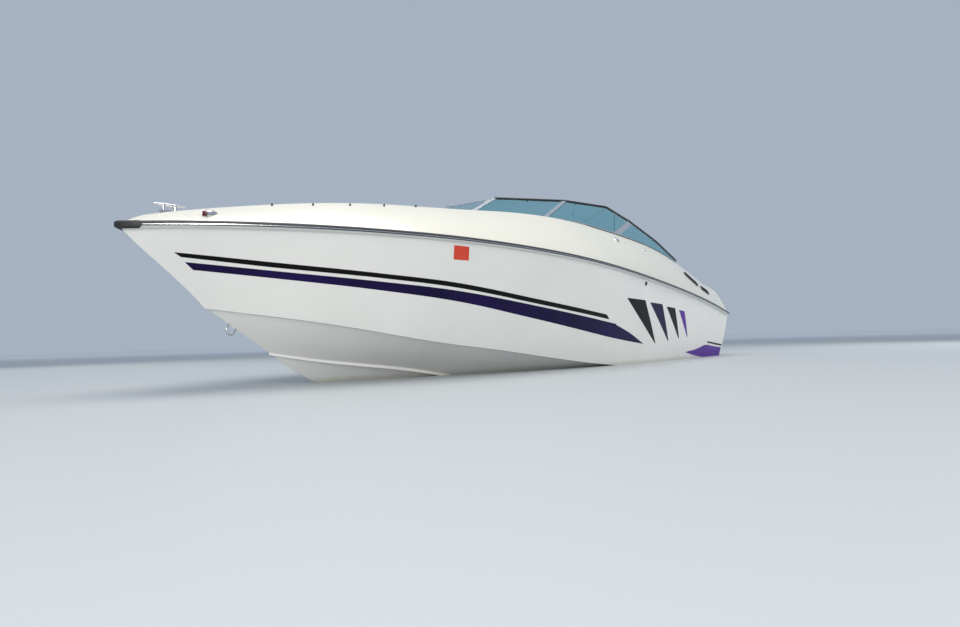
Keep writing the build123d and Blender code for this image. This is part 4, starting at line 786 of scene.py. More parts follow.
@dataclass(frozen=True)
class Carpet(Finish):
    """Short tufted marine carpet."""

    colour: RGB
    patches: Cloud = Cloud(120, 4)
    patch_shades: Spot = (0.7, 1.15)
    roughness: float = 0.95
    sheen: float = 0.4
    sheen_roughness: float = 0.5
    tufts: float = 260
    tufts_depth: float = 0.004
    tufts_strength: float = 0.7
    fibres: Grain = Grain(900, 3, 0.0015, 0.5)

    def draw(self, s: Shader) -> None:
        """Draws the colour, the polish and the relief.

        Args:
            s: The shader to draw with.
        """
        dark, pale = (shade(self.colour, share) for share in self.patch_shades)
        s.set(base_color=s.mix(s.clouds(self.patches), dark, pale), roughness=self.roughness,
              sheen_weight=self.sheen, sheen_roughness=self.sheen_roughness)
        s.relief((s.cells(self.tufts), self.tufts_depth, self.tufts_strength), s.grained(self.fibres))


@dataclass(frozen=True)
class Lens(Finish):
    """Clear or coloured moulded lens of a lamp, with ribs."""

    colour: RGB
    transmission: float = 0.7
    roughness: float = 0.12
    ribs: float = 60.0
    ribs_depth: float = 0.001
    ribs_strength: float = 0.4

    def draw(self, s: Shader) -> None:
        """Draws the colour, the polish and the relief.

        Args:
            s: The shader to draw with.
        """
        ribs = s.node("ShaderNodeTexWave", {"Vector": s.object, "Scale": self.ribs}).outputs["Fac"]
        s.set(base_color=self.colour, transmission_weight=self.transmission, roughness=self.roughness,
              ior=PLASTIC_IOR)
        s.relief((ribs, self.ribs_depth, self.ribs_strength))


WHITE_HULL = Gelcoat("hull_gelcoat", (0.84, 0.83, 0.79))
WHITE_DECK = Gelcoat("deck_gelcoat", (0.83, 0.83, 0.80), tide_top=-1.0)
BLACK_FILM = Film("black_film", (0.003, 0.003, 0.004), fade=(0.0024, 0.0024, 0.0032))
INDIGO_FILM = Film("indigo_film", (0.012, 0.005, 0.066), fade=(0.006, 0.003, 0.034))
PURPLE_FILM = Film("purple_film", (0.115, 0.035, 0.36), fade=(0.085, 0.022, 0.27))
RED_FILM = Film("red_film", (0.72, 0.085, 0.045), fade=(0.62, 0.06, 0.035))
CHARCOAL_RUBBER = Rubber("charcoal_rubber", (0.035, 0.035, 0.04))
BLACK_COAT = Coated("black_coat", (0.012, 0.012, 0.014), 0.28)
SATIN_ALUMINIUM = Metal("satin_aluminium", (0.80, 0.81, 0.82), 0.22, (0.1, 1, 1))
POLISHED_STEEL = Metal("polished_steel", (0.72, 0.72, 0.72), 0.06)
TINTED_GLASS = Glass("tinted_glass", (0.30, 0.62, 0.68))
CREAM_VINYL = Upholstery("cream_vinyl", (0.70, 0.68, 0.62))
VIOLET_VINYL = Upholstery("violet_vinyl", (0.085, 0.045, 0.21))
GREY_VINYL = Upholstery("grey_vinyl", (0.22, 0.22, 0.235))
GREY_CARPET = Carpet("grey_carpet", (0.16, 0.165, 0.18))
COCKPIT_SIDES = SidePanel("cockpit_sides", (0.70, 0.68, 0.62), (0.085, 0.045, 0.21), (0.17, 0.175, 0.19))
DRIVE_PAINT = Coated("drive_paint", (0.018, 0.018, 0.02), 0.32)
MOULDED_BLACK = Coated("moulded_black", (0.016, 0.016, 0.017), 0.5, 700)
DIAL_BLACK = Coated("dial_black", (0.008, 0.008, 0.009), 0.55, 900)
DIAL_WHITE = Coated("dial_white", (0.75, 0.75, 0.72), 0.5, 900)
NEEDLE_RED = Coated("needle_red", (0.6, 0.03, 0.02), 0.4, 900)
ENGINE_PAINT = Coated("engine_paint", (0.03, 0.032, 0.036), 0.4)
RED_LENS = Lens("red_lens", (0.32, 0.008, 0.01))
GREEN_LENS = Lens("green_lens", (0.02, 0.5, 0.12))


@dataclass(frozen=True)
class Lamp:
    """One soft round lamp: its place, its aim and whether it shows in glass and metal."""

    name: str
    place: Point
    aim: Point
    size: float
    power: float
    mirrored: bool


@dataclass
class Studio:
    """Pale floor at the water's level, soft lamps and the camera of the photograph."""

    floor_colour: RGB = (0.42, 0.45, 0.47)
    far_colour: RGB = (0.93, 0.95, 0.97)
    fade: Spot = (7.0, 45.0)
    floor_roughness: Spot = (0.42, 1.0)
    floor_size: float = 400.0
    backdrop_colour: RGB = (0.62, 0.72, 0.86)
    backdrop_strength: float = 0.62
    lamp_colour: RGB = (1.0, 0.95, 0.88)
    lamps: tuple[Lamp, ...] = (Lamp("top_lamp", (1.5, 1.0, 9.0), (0, 0, 0.6), 9.0, 760, True),
                               Lamp("bow_lamp", (9.0, 6.5, 4.0), (1.5, 0.5, 0.6), 5.0, 520, True),
                               Lamp("stern_lamp", (-9.0, 6.0, 5.0), (-2.0, 0, 0.5), 6.0, 460, False),
                               Lamp("far_lamp", (1.0, -10.0, 6.0), (0, 0, 0.8), 7.0, 300, False))
    camera_place: Point = (5.6689, 4.2036, 0.2816)
    camera_yaw: float = -142.814
    camera_pitch: float = 2.254
    camera_roll: float = -1.597
    camera_reach: float = 500.0
    focal_length_px: float = 693.0
    photo_width_px: float = 960.0
    sensor_width: float = 36.0

    def build(self) -> None:
        """Makes the floor, the world, the lamps and the camera."""
        self.lay_floor()
        self.set_world()
        for lamp in self.lamps:
            self.hang(lamp)
        self.place_camera()
        bpy.context.scene.view_settings.view_transform = "Standard"

    def lay_floor(self) -> None:
        """Plain floor through the waterline, paler far away."""
        put_down()
        bpy.ops.mesh.primitive_plane_add(size=self.floor_size)
        floor = seat(bpy.context.object, "floor")
        s = Shader("floor")
        away = s.node("ShaderNodeVectorMath", {0: s.object}, operation="LENGTH").outputs["Value"]
        far = s.ranged(away, *self.fade)
        s.set(base_color=s.mix(far, self.floor_colour, self.far_colour),
              roughness=s.ranged(far, 0, 1, *self.floor_roughness))
        floor.data.materials.append(s.material)

    def set_world(self) -> None:
        """Even pale world, the same to the camera and in reflections."""
        world = bpy.data.worlds.new("studio")
        bpy.context.scene.world = world
        world.use_nodes = True
        background = world.node_tree.nodes["Background"]
        background.inputs["Color"].default_value = (*self.backdrop_colour, 1)
        background.inputs["Strength"].default_value = self.backdrop_strength

    def hang(self, lamp: Lamp) -> None:
        """Hangs one lamp.

        Args:
            lamp: The lamp.
        """
        light = bpy.data.lights.new(lamp.name, "AREA")
        light.shape = "DISK"
        light.size = lamp.size
        light.energy = lamp.power
        light.color = self.lamp_colour
        holder = bpy.data.objects.new(lamp.name, light)
        holder.location = lamp.place
        holder.rotation_euler = (Vector(lamp.aim) - Vector(lamp.place)).to_track_quat("-Z", "Y").to_euler()
        holder.visible_glossy = lamp.mirrored
        holder.visible_transmission = lamp.mirrored
        bpy.context.scene.collection.objects.link(holder)

    def place_camera(self) -> None:
        """Camera at the photograph's place, with its angle of view and its roll."""
        yaw, pitch, roll = (math.radians(a) for a in (self.camera_yaw, self.camera_pitch, self.camera_roll))
        ahead = Vector((math.cos(yaw) * math.cos(pitch), math.sin(yaw) * math.cos(pitch), math.sin(pitch)))
        level = Vector((math.sin(yaw), -math.cos(yaw), 0))
        upright = level.cross(ahead)
        right = math.cos(roll) * level + math.sin(roll) * upright
        up = math.cos(roll) * upright - math.sin(roll) * level
        data = bpy.data.cameras.new("photo_camera")
        data.sensor_width = self.sensor_width
        data.lens = self.sensor_width * self.focal_length_px / self.photo_width_px
        data.clip_end = self.camera_reach
        camera = bpy.data.objects.new("photo_camera", data)
        turn = Matrix((right, up, -ahead)).transposed().to_4x4()
        camera.matrix_world = Matrix.Translation(self.camera_place) @ turn
        bpy.context.scene.collection.objects.link(camera)
        bpy.context.scene.camera = camera


def choose_liner(middle: Vector, normal: Vector) -> int:
    """Gelcoat, or the side panel on the main cockpit's two side walls."""
    on_wall = abs(abs(middle.y) - COCKPIT_HALF) < WALL_TOLERANCE and COCKPIT_AFT < middle.x < COCKPIT_FORWARD
    return int(on_wall and normal.y * middle.y < 0)


def through(points: Sequence[Sequence[float]], share: float) -> Vector:
    """Point on the smooth curve through a few points.

    Args:
        points: The points, in order.
        share: Place along them, from 0 to 1, even by length of the straight runs.

    Returns:
        The point, in as many numbers as the given ones.
    """
    spots = [Vector(p) for p in points]
    runs = [(b - a).length for a, b in zip(spots, spots[1:])]
    left = share * sum(runs)
    index = 0
    while index < len(runs) - 1 and left > runs[index]:
        left -= runs[index]
        index += 1
    t = min(1.0, left / runs[index])
    a, b = spots[index], spots[index + 1]
    before = spots[index - 1] if index else a * 2 - b
    after = spots[index + 2] if index + 2 < len(spots) else b * 2 - a
    return 0.5 * (2 * a + (b - before) * t + (2 * before - 5 * a + 4 * b - after) * t * t
                  + (3 * a - before - 3 * b + after) * t ** 3)


@dataclass(frozen=True)
class Band:
    """A band of film on the topside; its edges are (x, z) points, forward to aft."""

    name: str
    top: tuple[Spot, ...]
    bottom: tuple[Spot, ...]
    film: Film


def slash(number: int, top: Spot, width: float, foot: Spot, film: Film) -> Band:
    """One slanted blade, wide at its top and pointed at its foot.

    Args:
        number: Its number, from forward.
        top: Its forward upper corner.
        width: Its width at the top.
        foot: Its point.
        film: Its film.

    Returns:
        The band.
    """
    slope, point = 0.012, 0.02
    return Band(f"slash_{number}", (top, (top[0] - width, top[1] - slope)),
                (foot, (foot[0] - point, foot[1])), film)


THIN_STRIPE = Band(
    "thin_stripe",
    ((3.393, 0.885), (2.847, 0.828), (2.231, 0.774), (1.600, 0.720), (0.745, 0.613), (-0.302, 0.497)),
    ((3.351, 0.858), (2.836, 0.797), (2.220, 0.743), (1.586, 0.685), (0.728, 0.575), (-0.369, 0.452)),
    BLACK_FILM)
WIDE_STRIPE = Band(
    "wide_stripe",
    ((3.322, 0.829), (2.771, 0.770), (2.210, 0.719), (1.576, 0.663), (0.720, 0.556), (-0.43, 0.419),
     (-0.473, 0.413), (-0.51, 0.403), (-0.834, 0.318), (-1.173, 0.207)),
    ((3.265, 0.783), (2.754, 0.723), (2.189, 0.660), (1.544, 0.584), (0.799, 0.465), (-0.259, 0.307),
     (-0.760, 0.245), (-1.173, 0.203)), INDIGO_FILM)
STERN_BAR = Band("stern_bar", ((-3.075, 0.199), (-3.66, 0.147)), ((-3.110, 0.175), (-3.66, 0.125)),
                 BLACK_FILM)
STERN_FLASH = Band(
    "stern_flash",
    ((-2.40, 0.080), (-2.74, 0.106), (-3.04, 0.150), (-3.35, 0.128), (-3.66, 0.106)),
    ((-2.40, 0.078), (-2.66, 0.040), (-2.98, 0.004), (-3.32, -0.02), (-3.66, -0.03)), PURPLE_FILM)
BLANK_SQUARE = Band("blank_square", ((1.768, 0.984), (1.636, 0.979)), ((1.728, 0.886), (1.596, 0.883)),
                    RED_FILM)
SLASHES = (slash(1, (-0.64, 0.665), 0.42, (-1.46, 0.205), BLACK_FILM),
           slash(2, (-1.18, 0.635), 0.32, (-1.80, 0.225), INDIGO_FILM),
           slash(3, (-1.62, 0.600), 0.24, (-2.10, 0.245), BLACK_FILM),
           slash(4, (-1.98, 0.570), 0.17, (-2.35, 0.262), PURPLE_FILM))


@dataclass
class Topsides:
    """Hull, rub rail and the graphics on the topsides."""

    film_lift: float = 0.0003
    film_thickness: float = 0.0006
    step: float = 0.02
    nose_tilt: float = 0.25
    end_tilt: float = 0.97
    strip_border: float = 0.010
    strip_drop: float = 0.0015
    strip_thickness: float = 0.0006
    strip_degrees: float = 50.0
    quad_turn: float = 0.7
    hull: Probe = field(init=False)

    def __post_init__(self) -> None:
        """Takes the hull's surface."""
        self.hull = Probe("hull")

    def build(self) -> None:
        """Dresses the hull and lays all the film."""
        finish_node("hull", WHITE_HULL.material(), COCKPIT_SIDES.material(), choose=choose_liner)
        for band in (THIN_STRIPE, WIDE_STRIPE, STERN_BAR, STERN_FLASH, BLANK_SQUARE, *SLASHES):
            for side in Side:
                self.lay(band, side)
        self.fit_rail()

    def lay(self, band: Band, side: Side) -> None:
        """Lays one band of film on one side.

        Args:
            band: The band's edges and film.
            side: Which topside.
        """
        run = (Vector(band.top[0]) - Vector(band.top[-1])).length
        drop = (Vector(band.top[0]) - Vector(band.bottom[0])).length
        steps = [max(2, round(length / self.step)) for length in (run, drop)]
        put_down()
        bpy.ops.mesh.primitive_grid_add(size=1, x_subdivisions=steps[0], y_subdivisions=steps[1])
        piece = bpy.context.object
        for vertex in piece.data.vertices:
            along, down = vertex.co.x + 0.5, 0.5 - vertex.co.y
            x, z = through(band.top, along).lerp(through(band.bottom, along), down)
            point, normal = self.hull.beside(x, z, side)
            vertex.co = point + normal * self.film_lift
        seat(piece, f"{side.name.lower()}_{band.name}")
        with editing(piece):
            bpy.ops.mesh.normals_make_consistent(inside=False)
            if side.value * piece.data.polygons[0].normal.y < 0:
                bpy.ops.mesh.flip_normals()
        apply(piece, "SOLIDIFY", thickness=self.film_thickness, offset=1)
        smooth(piece, ROUND_DEGREES)
        apply(piece, "DATA_TRANSFER", object=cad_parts["hull"], use_loop_data=True,
              data_types_loops={"CUSTOM_NORMAL"}, loop_mapping="POLYINTERP_NEAREST")
        dress(piece, Body.BOAT, band.film.material())

    def on_nose(self, middle: Vector, normal: Vector) -> bool:
        """Tells whether a face of the rail is on its outward nose, aft of the cap."""
        outward = abs(normal.z) < self.nose_tilt and abs(normal.x) < self.end_tilt and normal.y * middle.y > 0
        return outward and middle.x < RAIL_END_X

    def fit_rail(self) -> None:
        """Dark rail with a pale lip below and a bright strip along its nose."""
        finish_node("rub_rail", CHARCOAL_RUBBER.material(), WHITE_HULL.material(),
                    choose=lambda middle, normal: int(normal.z < -self.nose_tilt and middle.x < RAIL_END_X))
        strip = copy_of("rub_rail", "rail_strip")
        mark_faces(strip, lambda middle, normal: not self.on_nose(middle, normal))
        with editing(strip, everything=False):
            bpy.ops.mesh.delete(type="FACE")
        with editing(strip):
            bpy.ops.mesh.tris_convert_to_quads(face_threshold=self.quad_turn, shape_threshold=self.quad_turn)
            bpy.ops.mesh.inset(thickness=self.strip_border, use_boundary=True)
            bpy.ops.mesh.select_all(action="INVERT")
            bpy.ops.mesh.delete(type="FACE")
            bpy.ops.mesh.select_all(action="SELECT")
            bpy.ops.transform.translate(value=(0, 0, -self.strip_drop))
        apply(strip, "SOLIDIFY", thickness=self.strip_thickness, offset=1)
        smooth(strip, self.strip_degrees)
        dress(strip, Body.BOAT, SATIN_ALUMINIUM.material())


@dataclass
class Glazing:
    """Windshield: its rails, posts and glass, and the walk-through door."""

    tops: tuple[Point, ...] = ((0.231, 0.300, 1.659), (-0.376, 0.723, 1.659), (-0.894, 0.920, 1.639),
                               (-1.385, 0.960, 1.535), (-2.001, 0.980, 1.386), (-2.555, 1.000, 1.200))
    feet: tuple[Spot, ...] = ((0.735, 0.300), (0.185, 0.830), (-0.285, 0.950), (-0.945, 0.995),
                              (-1.685, 1.000), (-2.525, 0.998))
    rail_reach: float = 0.021
    rail_foot_tilt: float = -0.85
    gasket_steps: int = 60
    gasket_radius: float = 0.0035
    gasket_out: float = 0.030
    gasket_ahead: float = 0.009
    knob_place: Point = (-0.041, 0.490, 1.655)
    knob_way: Point = (0.57, 0.82, -0.1)
    knob_radius: float = 0.011
    knob_length: float = 0.016
    stem_radius: float = 0.006
    stem_length: float = 0.024
    stem_bare: float = 0.018
    knob_round: float = 0.002

    def build(self) -> None:
        """Dresses the frame and the glass, and adds the knobs and the dark gasket lines that also stand for
        the shadow at the frame's foot.
        """
        finish_node("windshield_frame", SATIN_ALUMINIUM.material(), BLACK_COAT.material(),
                    choose=self.choose_rail)
        finish_node("windshield_door_frame", SATIN_ALUMINIUM.material())
        for node in ("port_front_glass", "port_side_glass", "starboard_front_glass", "starboard_side_glass",
                     "windshield_door_glass"):
            finish_node(node, TINTED_GLASS.material())
        deck = Probe("deck")
        for side in Side:
            self.lay_gasket(deck, side)
        for side in Side:
            self.fit_knob(side)

    def choose_rail(self, middle: Vector, normal: Vector) -> int:
        """Black on the upper part of the top rail, else bare metal.

        Args:
            middle: A face's middle.
            normal: Its normal.

        Returns:
            The number of its material.
        """
        for side in Side:
            line = [Vector((x, side.value * y, z)) for x, y, z in self.tops]
            for a, b in zip(line, line[1:]):
                t = max(0.0, min(1.0, (middle - a).dot(b - a) / (b - a).length_squared))
                if (a.lerp(b, t) - middle).length < self.rail_reach and normal.z > self.rail_foot_tilt:
                    return 1
        return 0

    def lay_gasket(self, deck: Probe, side: Side) -> None:
        """Dark line of rubber on the deck, outside the foot of the frame: partly the gasket, partly painted
        shadow at the foot.

        Args:
            deck: The deck's surface.
            side: Which side of the boat.
        """
        path = []
        for number in range(self.gasket_steps + 1):
            x, y = through(self.feet, number / self.gasket_steps)
            point, normal = deck.above(x + self.gasket_ahead, side.value * (y + self.gasket_out))
            path.append(point + normal * self.gasket_radius)
        # Dark rubber tube: the gasket, and painted shadow along the frame's foot.
        strip = tube(f"{side.name.lower()}_gasket", path, self.gasket_radius)
        dress(strip, Body.BOAT, CHARCOAL_RUBBER.material())

    def fit_knob(self, side: Side) -> None:
        """Black knob at the top rail of a front pane.

        Args:
            side: Which side of the boat.
        """
        place, way = (Vector((x, side.value * y, z)) for x, y, z in (self.knob_place, self.knob_way))
        knob = joined(f"{side.name.lower()}_knob", [
            drum("knob", place + way * self.stem_bare, way, self.knob_length, self.knob_radius),
            drum("stem", place, way, self.stem_length, self.stem_radius)])
        soften(knob, self.knob_round)
        dress(knob, Body.BOAT, BLACK_COAT.material())


@dataclass
class Fittings:
    """Deck fittings and the deck itself."""

    snaps: tuple[Spot, ...] = ((2.83, 0.329), (2.585, 0.451), (2.336, 0.549), (2.076, 0.626), (1.793, 0.679))
    snap_radius: float = 0.009
    snap_height: float = 0.013
    snap_base: float = 0.003
    snap_sunk: float = 0.001
    snap_round: float = 0.0012
    stud_share: float = 0.7
    plates: tuple[tuple[str, float, float, float], ...] = (("fuel_cap", -0.768, 1.266, 0.034),
                                                           ("tank_vent", -1.411, 1.220, 0.020))
    flange_thickness: float = 0.008
    flange_sunk: float = 0.003
    lid_thickness: float = 0.011
    lid_share: float = 0.72
    plate_round: float = 0.002
    skin_fitting: Spot = (-1.019, 0.82)
    skin_fitting_radius: float = 0.016
    skin_fitting_bar: float = 0.006
    throat_shade_thickness: float = 0.003
    throat_shade_sunk: float = 0.002
    cap_growth: float = 0.004
    cap_round: float = 0.003
    cap_back: float = 0.0005
    light_front: float = 3.272
    light_end_tilt: float = 0.995
    deck: Probe = field(init=False)

    def __post_init__(self) -> None:
        """Takes the deck's surface."""
        self.deck = Probe("deck")

    def build(self) -> None:
        """Dresses the deck and what stands on it."""
        finish_node("deck", WHITE_DECK.material(), COCKPIT_SIDES.material(), choose=choose_liner)
        for node in ("bow_eye", "stern_eyes", "stern_light_socket", "cleats", "hatch_hinges"):
            finish_node(node, POLISHED_STEEL.material())
        finish_node("engine_vents", CHARCOAL_RUBBER.material())
        finish_node("bow_lights", POLISHED_STEEL.material(), RED_LENS.material(), GREEN_LENS.material(),
                    choose=self.choose_lens)
        for side in Side:
            self.press_snaps(side)
        for plate in self.plates:
            self.fit_plate(*plate)
        self.fit_skin_fitting()
        self.fit_cap()

    def choose_lens(self, middle: Vector, normal: Vector) -> int:
        """Steel, or the coloured lens at the lamp's forward end.

        Args:
            middle: A face's middle.
            normal: Its normal.

        Returns:
            The number of its material.
        """
        if middle.x < self.light_front or abs(normal.x) > self.light_end_tilt:
            return 0
        return 1 if middle.y > 0 else 2

    def press_snaps(self, side: Side) -> None:
        """Snap studs of the bow cover along the coaming.

        Args:
            side: Which side of the boat.
        """
        studs = []
        for x, y in self.snaps:
            point, normal = self.deck.above(x, side.value * y)
            foot = point - normal * self.snap_sunk
            studs.append(drum("base", foot, normal, self.snap_base, self.snap_radius, 24))
            studs.append(drum("stud", point, normal, self.snap_height, self.snap_radius * self.stud_share,
                              20))
        row = joined(f"{side.name.lower()}_snaps", studs)
        soften(row, self.snap_round, 2)
        dress(row, Body.BOAT, BLACK_COAT.material())

    def fit_plate(self, name: str, x: float, z: float, radius: float) -> None:
        """Round deck plate on the port side.

        Args:
            name: The plate's name.
            x: Its place along the boat.
            z: Its height.
            radius: Its radius.
        """
        point, normal = self.deck.beside(x, z, Side.PORT)
        plate = joined(name, [
            drum("flange", point - normal * self.flange_sunk, normal, self.flange_thickness, radius),
            drum("lid", point, normal, self.lid_thickness, radius * self.lid_share)])
        soften(plate, self.plate_round)
        dress(plate, Body.BOAT, POLISHED_STEEL.material())

    def fit_skin_fitting(self) -> None:
        """Collar of the skin fitting below the rail, with a black disc in its opening as painted shade."""
        point, normal = Probe("hull").beside(*self.skin_fitting, Side.PORT)
        collar = ring("skin_fitting", point, normal, self.skin_fitting_radius, self.skin_fitting_bar)
        dress(collar, Body.BOAT, MOULDED_BLACK.material())
        # Black disc sunk in the collar: painted shade in the fitting's opening.
        throat_shade = drum("skin_fitting_throat", point - normal * self.throat_shade_sunk, normal, self.throat_shade_thickness,
                      self.skin_fitting_radius)
        dress(throat_shade, Body.BOAT, BLACK_COAT.material())

    def fit_cap(self) -> None:
        """Dark cap round the rail where it meets itself at the stem."""
        cap = copy_of("rub_rail", "bow_cap")
        with editing(cap):
            bpy.ops.mesh.bisect(plane_co=(RAIL_END_X, 0, 0), plane_no=(1, 0, 0), clear_inner=True,
                                use_fill=True)
            bpy.ops.mesh.select_all(action="SELECT")
            bpy.ops.transform.shrink_fatten(value=self.cap_growth)
            bpy.ops.mesh.normals_make_consistent(inside=False)
        soften(cap, self.cap_round)
        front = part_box("rub_rail")[1].x - self.cap_back
        for vertex in cap.data.vertices:
            vertex.co.x = min(vertex.co.x, front)
        dress(cap, Body.BOAT, MOULDED_BLACK.material())


@dataclass
class Padding:
    """One stuffed piece: a cover blown up over its node, with sewn panels and piping.

    Axes are numbers from 0 to 2, and shares are of the node's size along their axis.
    """

    node: str
    body: Body
    front: int
    seams: tuple[tuple[int, float], ...]
    accent: tuple[int, float] | None = None
    voxel: float = 0.013
    crown: float = 0.014
    pressure: float = 4.0
    stiffness: float = 12.0
    bending_stiffness: float = 2.0
    quality: int = 4
    last_frame: int = 20
    held_depth: float = 0.012
    groove: float = 0.006
    groove_width: float = 0.008
    groove_from: float = 0.4
    piping: float = 0.0045
    piping_share: float = 0.80
    piping_voxels: float = 1.5
    corner_share: float = 0.18
    probe_out: float = 0.1
    probe_reach: float = 0.3
    least_points: int = 9
    cover_degrees: float = 70.0
    low: Vector = field(init=False)
    high: Vector = field(init=False)
    size: Vector = field(init=False)

    def __post_init__(self) -> None:
        """Takes the node's box."""
        self.low, self.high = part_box(self.node)
        self.size = self.high - self.low

    def build(self) -> None:
        """Makes the cover and its piping."""
        cover = self.shrunk()
        self.inflate(cover)
        apply(cover, "SUBSURF", levels=1)
        self.sew(cover)
        smooth(cover, self.cover_degrees)
        dress(cover, self.body, CREAM_VINYL.material(), VIOLET_VINYL.material())
        cover.data.polygons.foreach_set("material_index", [self.panel(f.center) for f in cover.data.polygons])
        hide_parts(self.node)
        self.pipe(cover)

    def shrunk(self) -> Piece:
        """Makes the node smaller by the crown, except at its flat back, as an even grid.

        Returns:
            The cover.
        """
        cover = copy_of(self.node, f"{self.node}_cover")
        middle = (self.low + self.high) / 2
        for vertex in cover.data.vertices:
            for axis in range(3):
                share = 1 - 2 * self.crown / self.size[axis]
                anchor = middle[axis]
                if axis == self.front:
                    share = 1 - self.crown / self.size[axis]
                    anchor = self.low[axis]
                vertex.co[axis] = anchor + (vertex.co[axis] - anchor) * share
        apply(cover, "REMESH", mode="VOXEL", voxel_size=self.voxel)
        apply(cover, "SMOOTH", factor=0.5, iterations=3)
        return cover

    def inflate(self, cover: Piece) -> None:
        """Blows the cover up as cloth under pressure, its back held, and caps how far it moves.

        Args:
            cover: The cover.
        """
        before = [vertex.co.copy() for vertex in cover.data.vertices]
        back = self.low[self.front] + self.held_depth
        held = cover.vertex_groups.new(name="held")
        held.add([v.index for v in cover.data.vertices if v.co[self.front] < back], 1.0, "REPLACE")
        pick(cover)
        modifier = cover.modifiers.new("Cloth", "CLOTH")
        cloth = modifier.settings
        cloth.quality = self.quality
        cloth.use_pressure = True
        cloth.uniform_pressure_force = self.pressure
        cloth.effector_weights.gravity = 0
        cloth.tension_stiffness = self.stiffness
        cloth.compression_stiffness = self.stiffness
        cloth.bending_stiffness = self.bending_stiffness
        cloth.vertex_group_mass = "held"
        modifier.collision_settings.use_collision = False
        modifier.point_cache.frame_start = 1
        modifier.point_cache.frame_end = self.last_frame
        for number in range(1, self.last_frame + 1):
            bpy.context.scene.frame_set(number)
        bpy.ops.object.modifier_apply(modifier=modifier.name)
        bpy.context.scene.frame_set(1)
        for vertex, start in zip(cover.data.vertices, before):
            move = vertex.co - start
            if move.length > self.crown:
                move *= self.crown / move.length
            vertex.co = start + move
        cover.vertex_groups.clear()

    def sew(self, cover: Piece) -> None:
        """Draws the cover in along its seams.

        Args:
            cover: The cover.
        """
        normals = [vertex.normal.copy() for vertex in cover.data.vertices]
        for vertex, normal in zip(cover.data.vertices, normals):
            pull = 0.0
            for axis, share in self.seams:
                away = (vertex.co[axis] - self.low[axis] - share * self.size[axis]) / self.groove_width
                pull = max(pull, math.exp(-away * away))
            if vertex.co[self.front] > self.low[self.front] + self.groove_from * self.size[self.front]:
                vertex.co -= normal * pull * self.groove

    def panel(self, middle: Vector) -> int:
        """Chooses the vinyl of a face.

        Args:
            middle: The face's middle.

        Returns:
            The second vinyl's number outside the accent's shares of its axis, or the first one's.
        """
        if self.accent is None:
            return 0
        axis, share = self.accent
        place = (middle[axis] - self.low[axis]) / self.size[axis]
        return int(place < share or place > 1 - share)

    def pipe(self, cover: Piece) -> None:
        """Piping round the edge between the front and the sides.

        Args:
            cover: The cover that the piping lies on.
        """
        tree = BVHTree.FromPolygons([v.co for v in cover.data.vertices],
                                    [tuple(f.vertices) for f in cover.data.polygons])
        level = self.low[self.front] + self.piping_share * self.size[self.front]
        axes = [axis for axis in range(3) if axis != self.front]
        middle = (self.low + self.high) / 2
        corner = min(self.size[axes[0]], self.size[axes[1]]) * self.corner_share
        path = []
        for spot, way in outline(self.size[axes[0]] / 2, self.size[axes[1]] / 2, corner,
                                 self.voxel * self.piping_voxels):
            start, inward = Vector(), Vector()
            start[self.front] = level
            for axis, offset, out in zip(axes, spot, way):
                start[axis] = middle[axis] + offset + out * self.probe_out
                inward[axis] = -out
            hit = tree.ray_cast(start, inward)
            if hit[0] is not None and hit[3] < self.probe_reach:
                path.append(hit[0])
        if len(path) >= self.least_points:
            line = tube(f"{self.node}_piping", path, self.piping, closed=True)
            dress(line, self.body, GREY_VINYL.material())


def outline(half_a: float, half_b: float, corner: float, step: float) -> list[tuple[Spot, Spot]]:
    """Points round a rectangle with rounded corners.

    Args:
        half_a: Half of its first side.
        half_b: Half of its second side.
        corner: Radius of its corners.
        step: Greatest distance between points.

    Returns:
        Each point with the way out of the rectangle there.
    """
    spots = []
    for quarter in range(4):
        sign_a, sign_b = ((1, 1), (-1, 1), (-1, -1), (1, -1))[quarter]
        centre = Vector((sign_a * (half_a - corner), sign_b * (half_b - corner)))
        for number in range(7):
            angle = math.radians(90 * quarter + 15 * number)
            way = Vector((math.cos(angle), math.sin(angle)))
            spots.append((centre + way * corner, way))
    even = []
    for (a, way_a), (b, way_b) in zip(spots, spots[1:] + spots[:1]):
        count = max(1, math.ceil((b - a).length / step))
        even += [(a.lerp(b, n / count), way_a.lerp(way_b, n / count).normalized()) for n in range(count)]
    return [(tuple(spot), tuple(way)) for spot, way in even]


def tube(name: str, path: Sequence[Vector], radius: float, closed: bool = False, sides: int = 8) -> Piece:
    """Round line of even thickness along points.

    Args:
        name: The piece's name.
        path: The points.
        radius: Half of its thickness.
        closed: Whether it ends where it starts.
        sides: How many faces go round it.

    Returns:
        The piece.
    """
    put_down()
    bpy.ops.mesh.primitive_circle_add(vertices=sides, radius=radius)
    section = bpy.context.object
    corners = [vertex.co.copy() for vertex in section.data.vertices]
    bpy.data.objects.remove(section)
    count = len(path)
    places, up = [], Vector((0, 0, 1))
    for number, spot in enumerate(path):
        ahead = path[(number + 1) % count] if closed or number < count - 1 else spot
        behind = path[number - 1] if closed or number else spot
        way = (ahead - behind).normalized()
        side = way.cross(up if abs(way.z) < 0.9 else Vector((1, 0, 0))).normalized()
        over = side.cross(way)
        places += [spot + side * corner.x + over * corner.y for corner in corners]
    faces = []
    for number in range(count if closed else count - 1):
        near, far = number * sides, ((number + 1) % count) * sides
        faces += [(near + k, near + (k + 1) % sides, far + (k + 1) % sides, far + k) for k in range(sides)]
    if not closed:
        faces += [tuple(range(sides)), tuple(reversed(range((count - 1) * sides, count * sides)))]
    mesh = bpy.data.meshes.new(name)
    mesh.from_pydata(places, [], faces)
    piece = bpy.data.objects.new(name, mesh)
    bpy.context.scene.collection.objects.link(piece)
    with editing(piece):
        bpy.ops.mesh.normals_make_consistent(inside=False)
    smooth(piece, 50)
    return piece


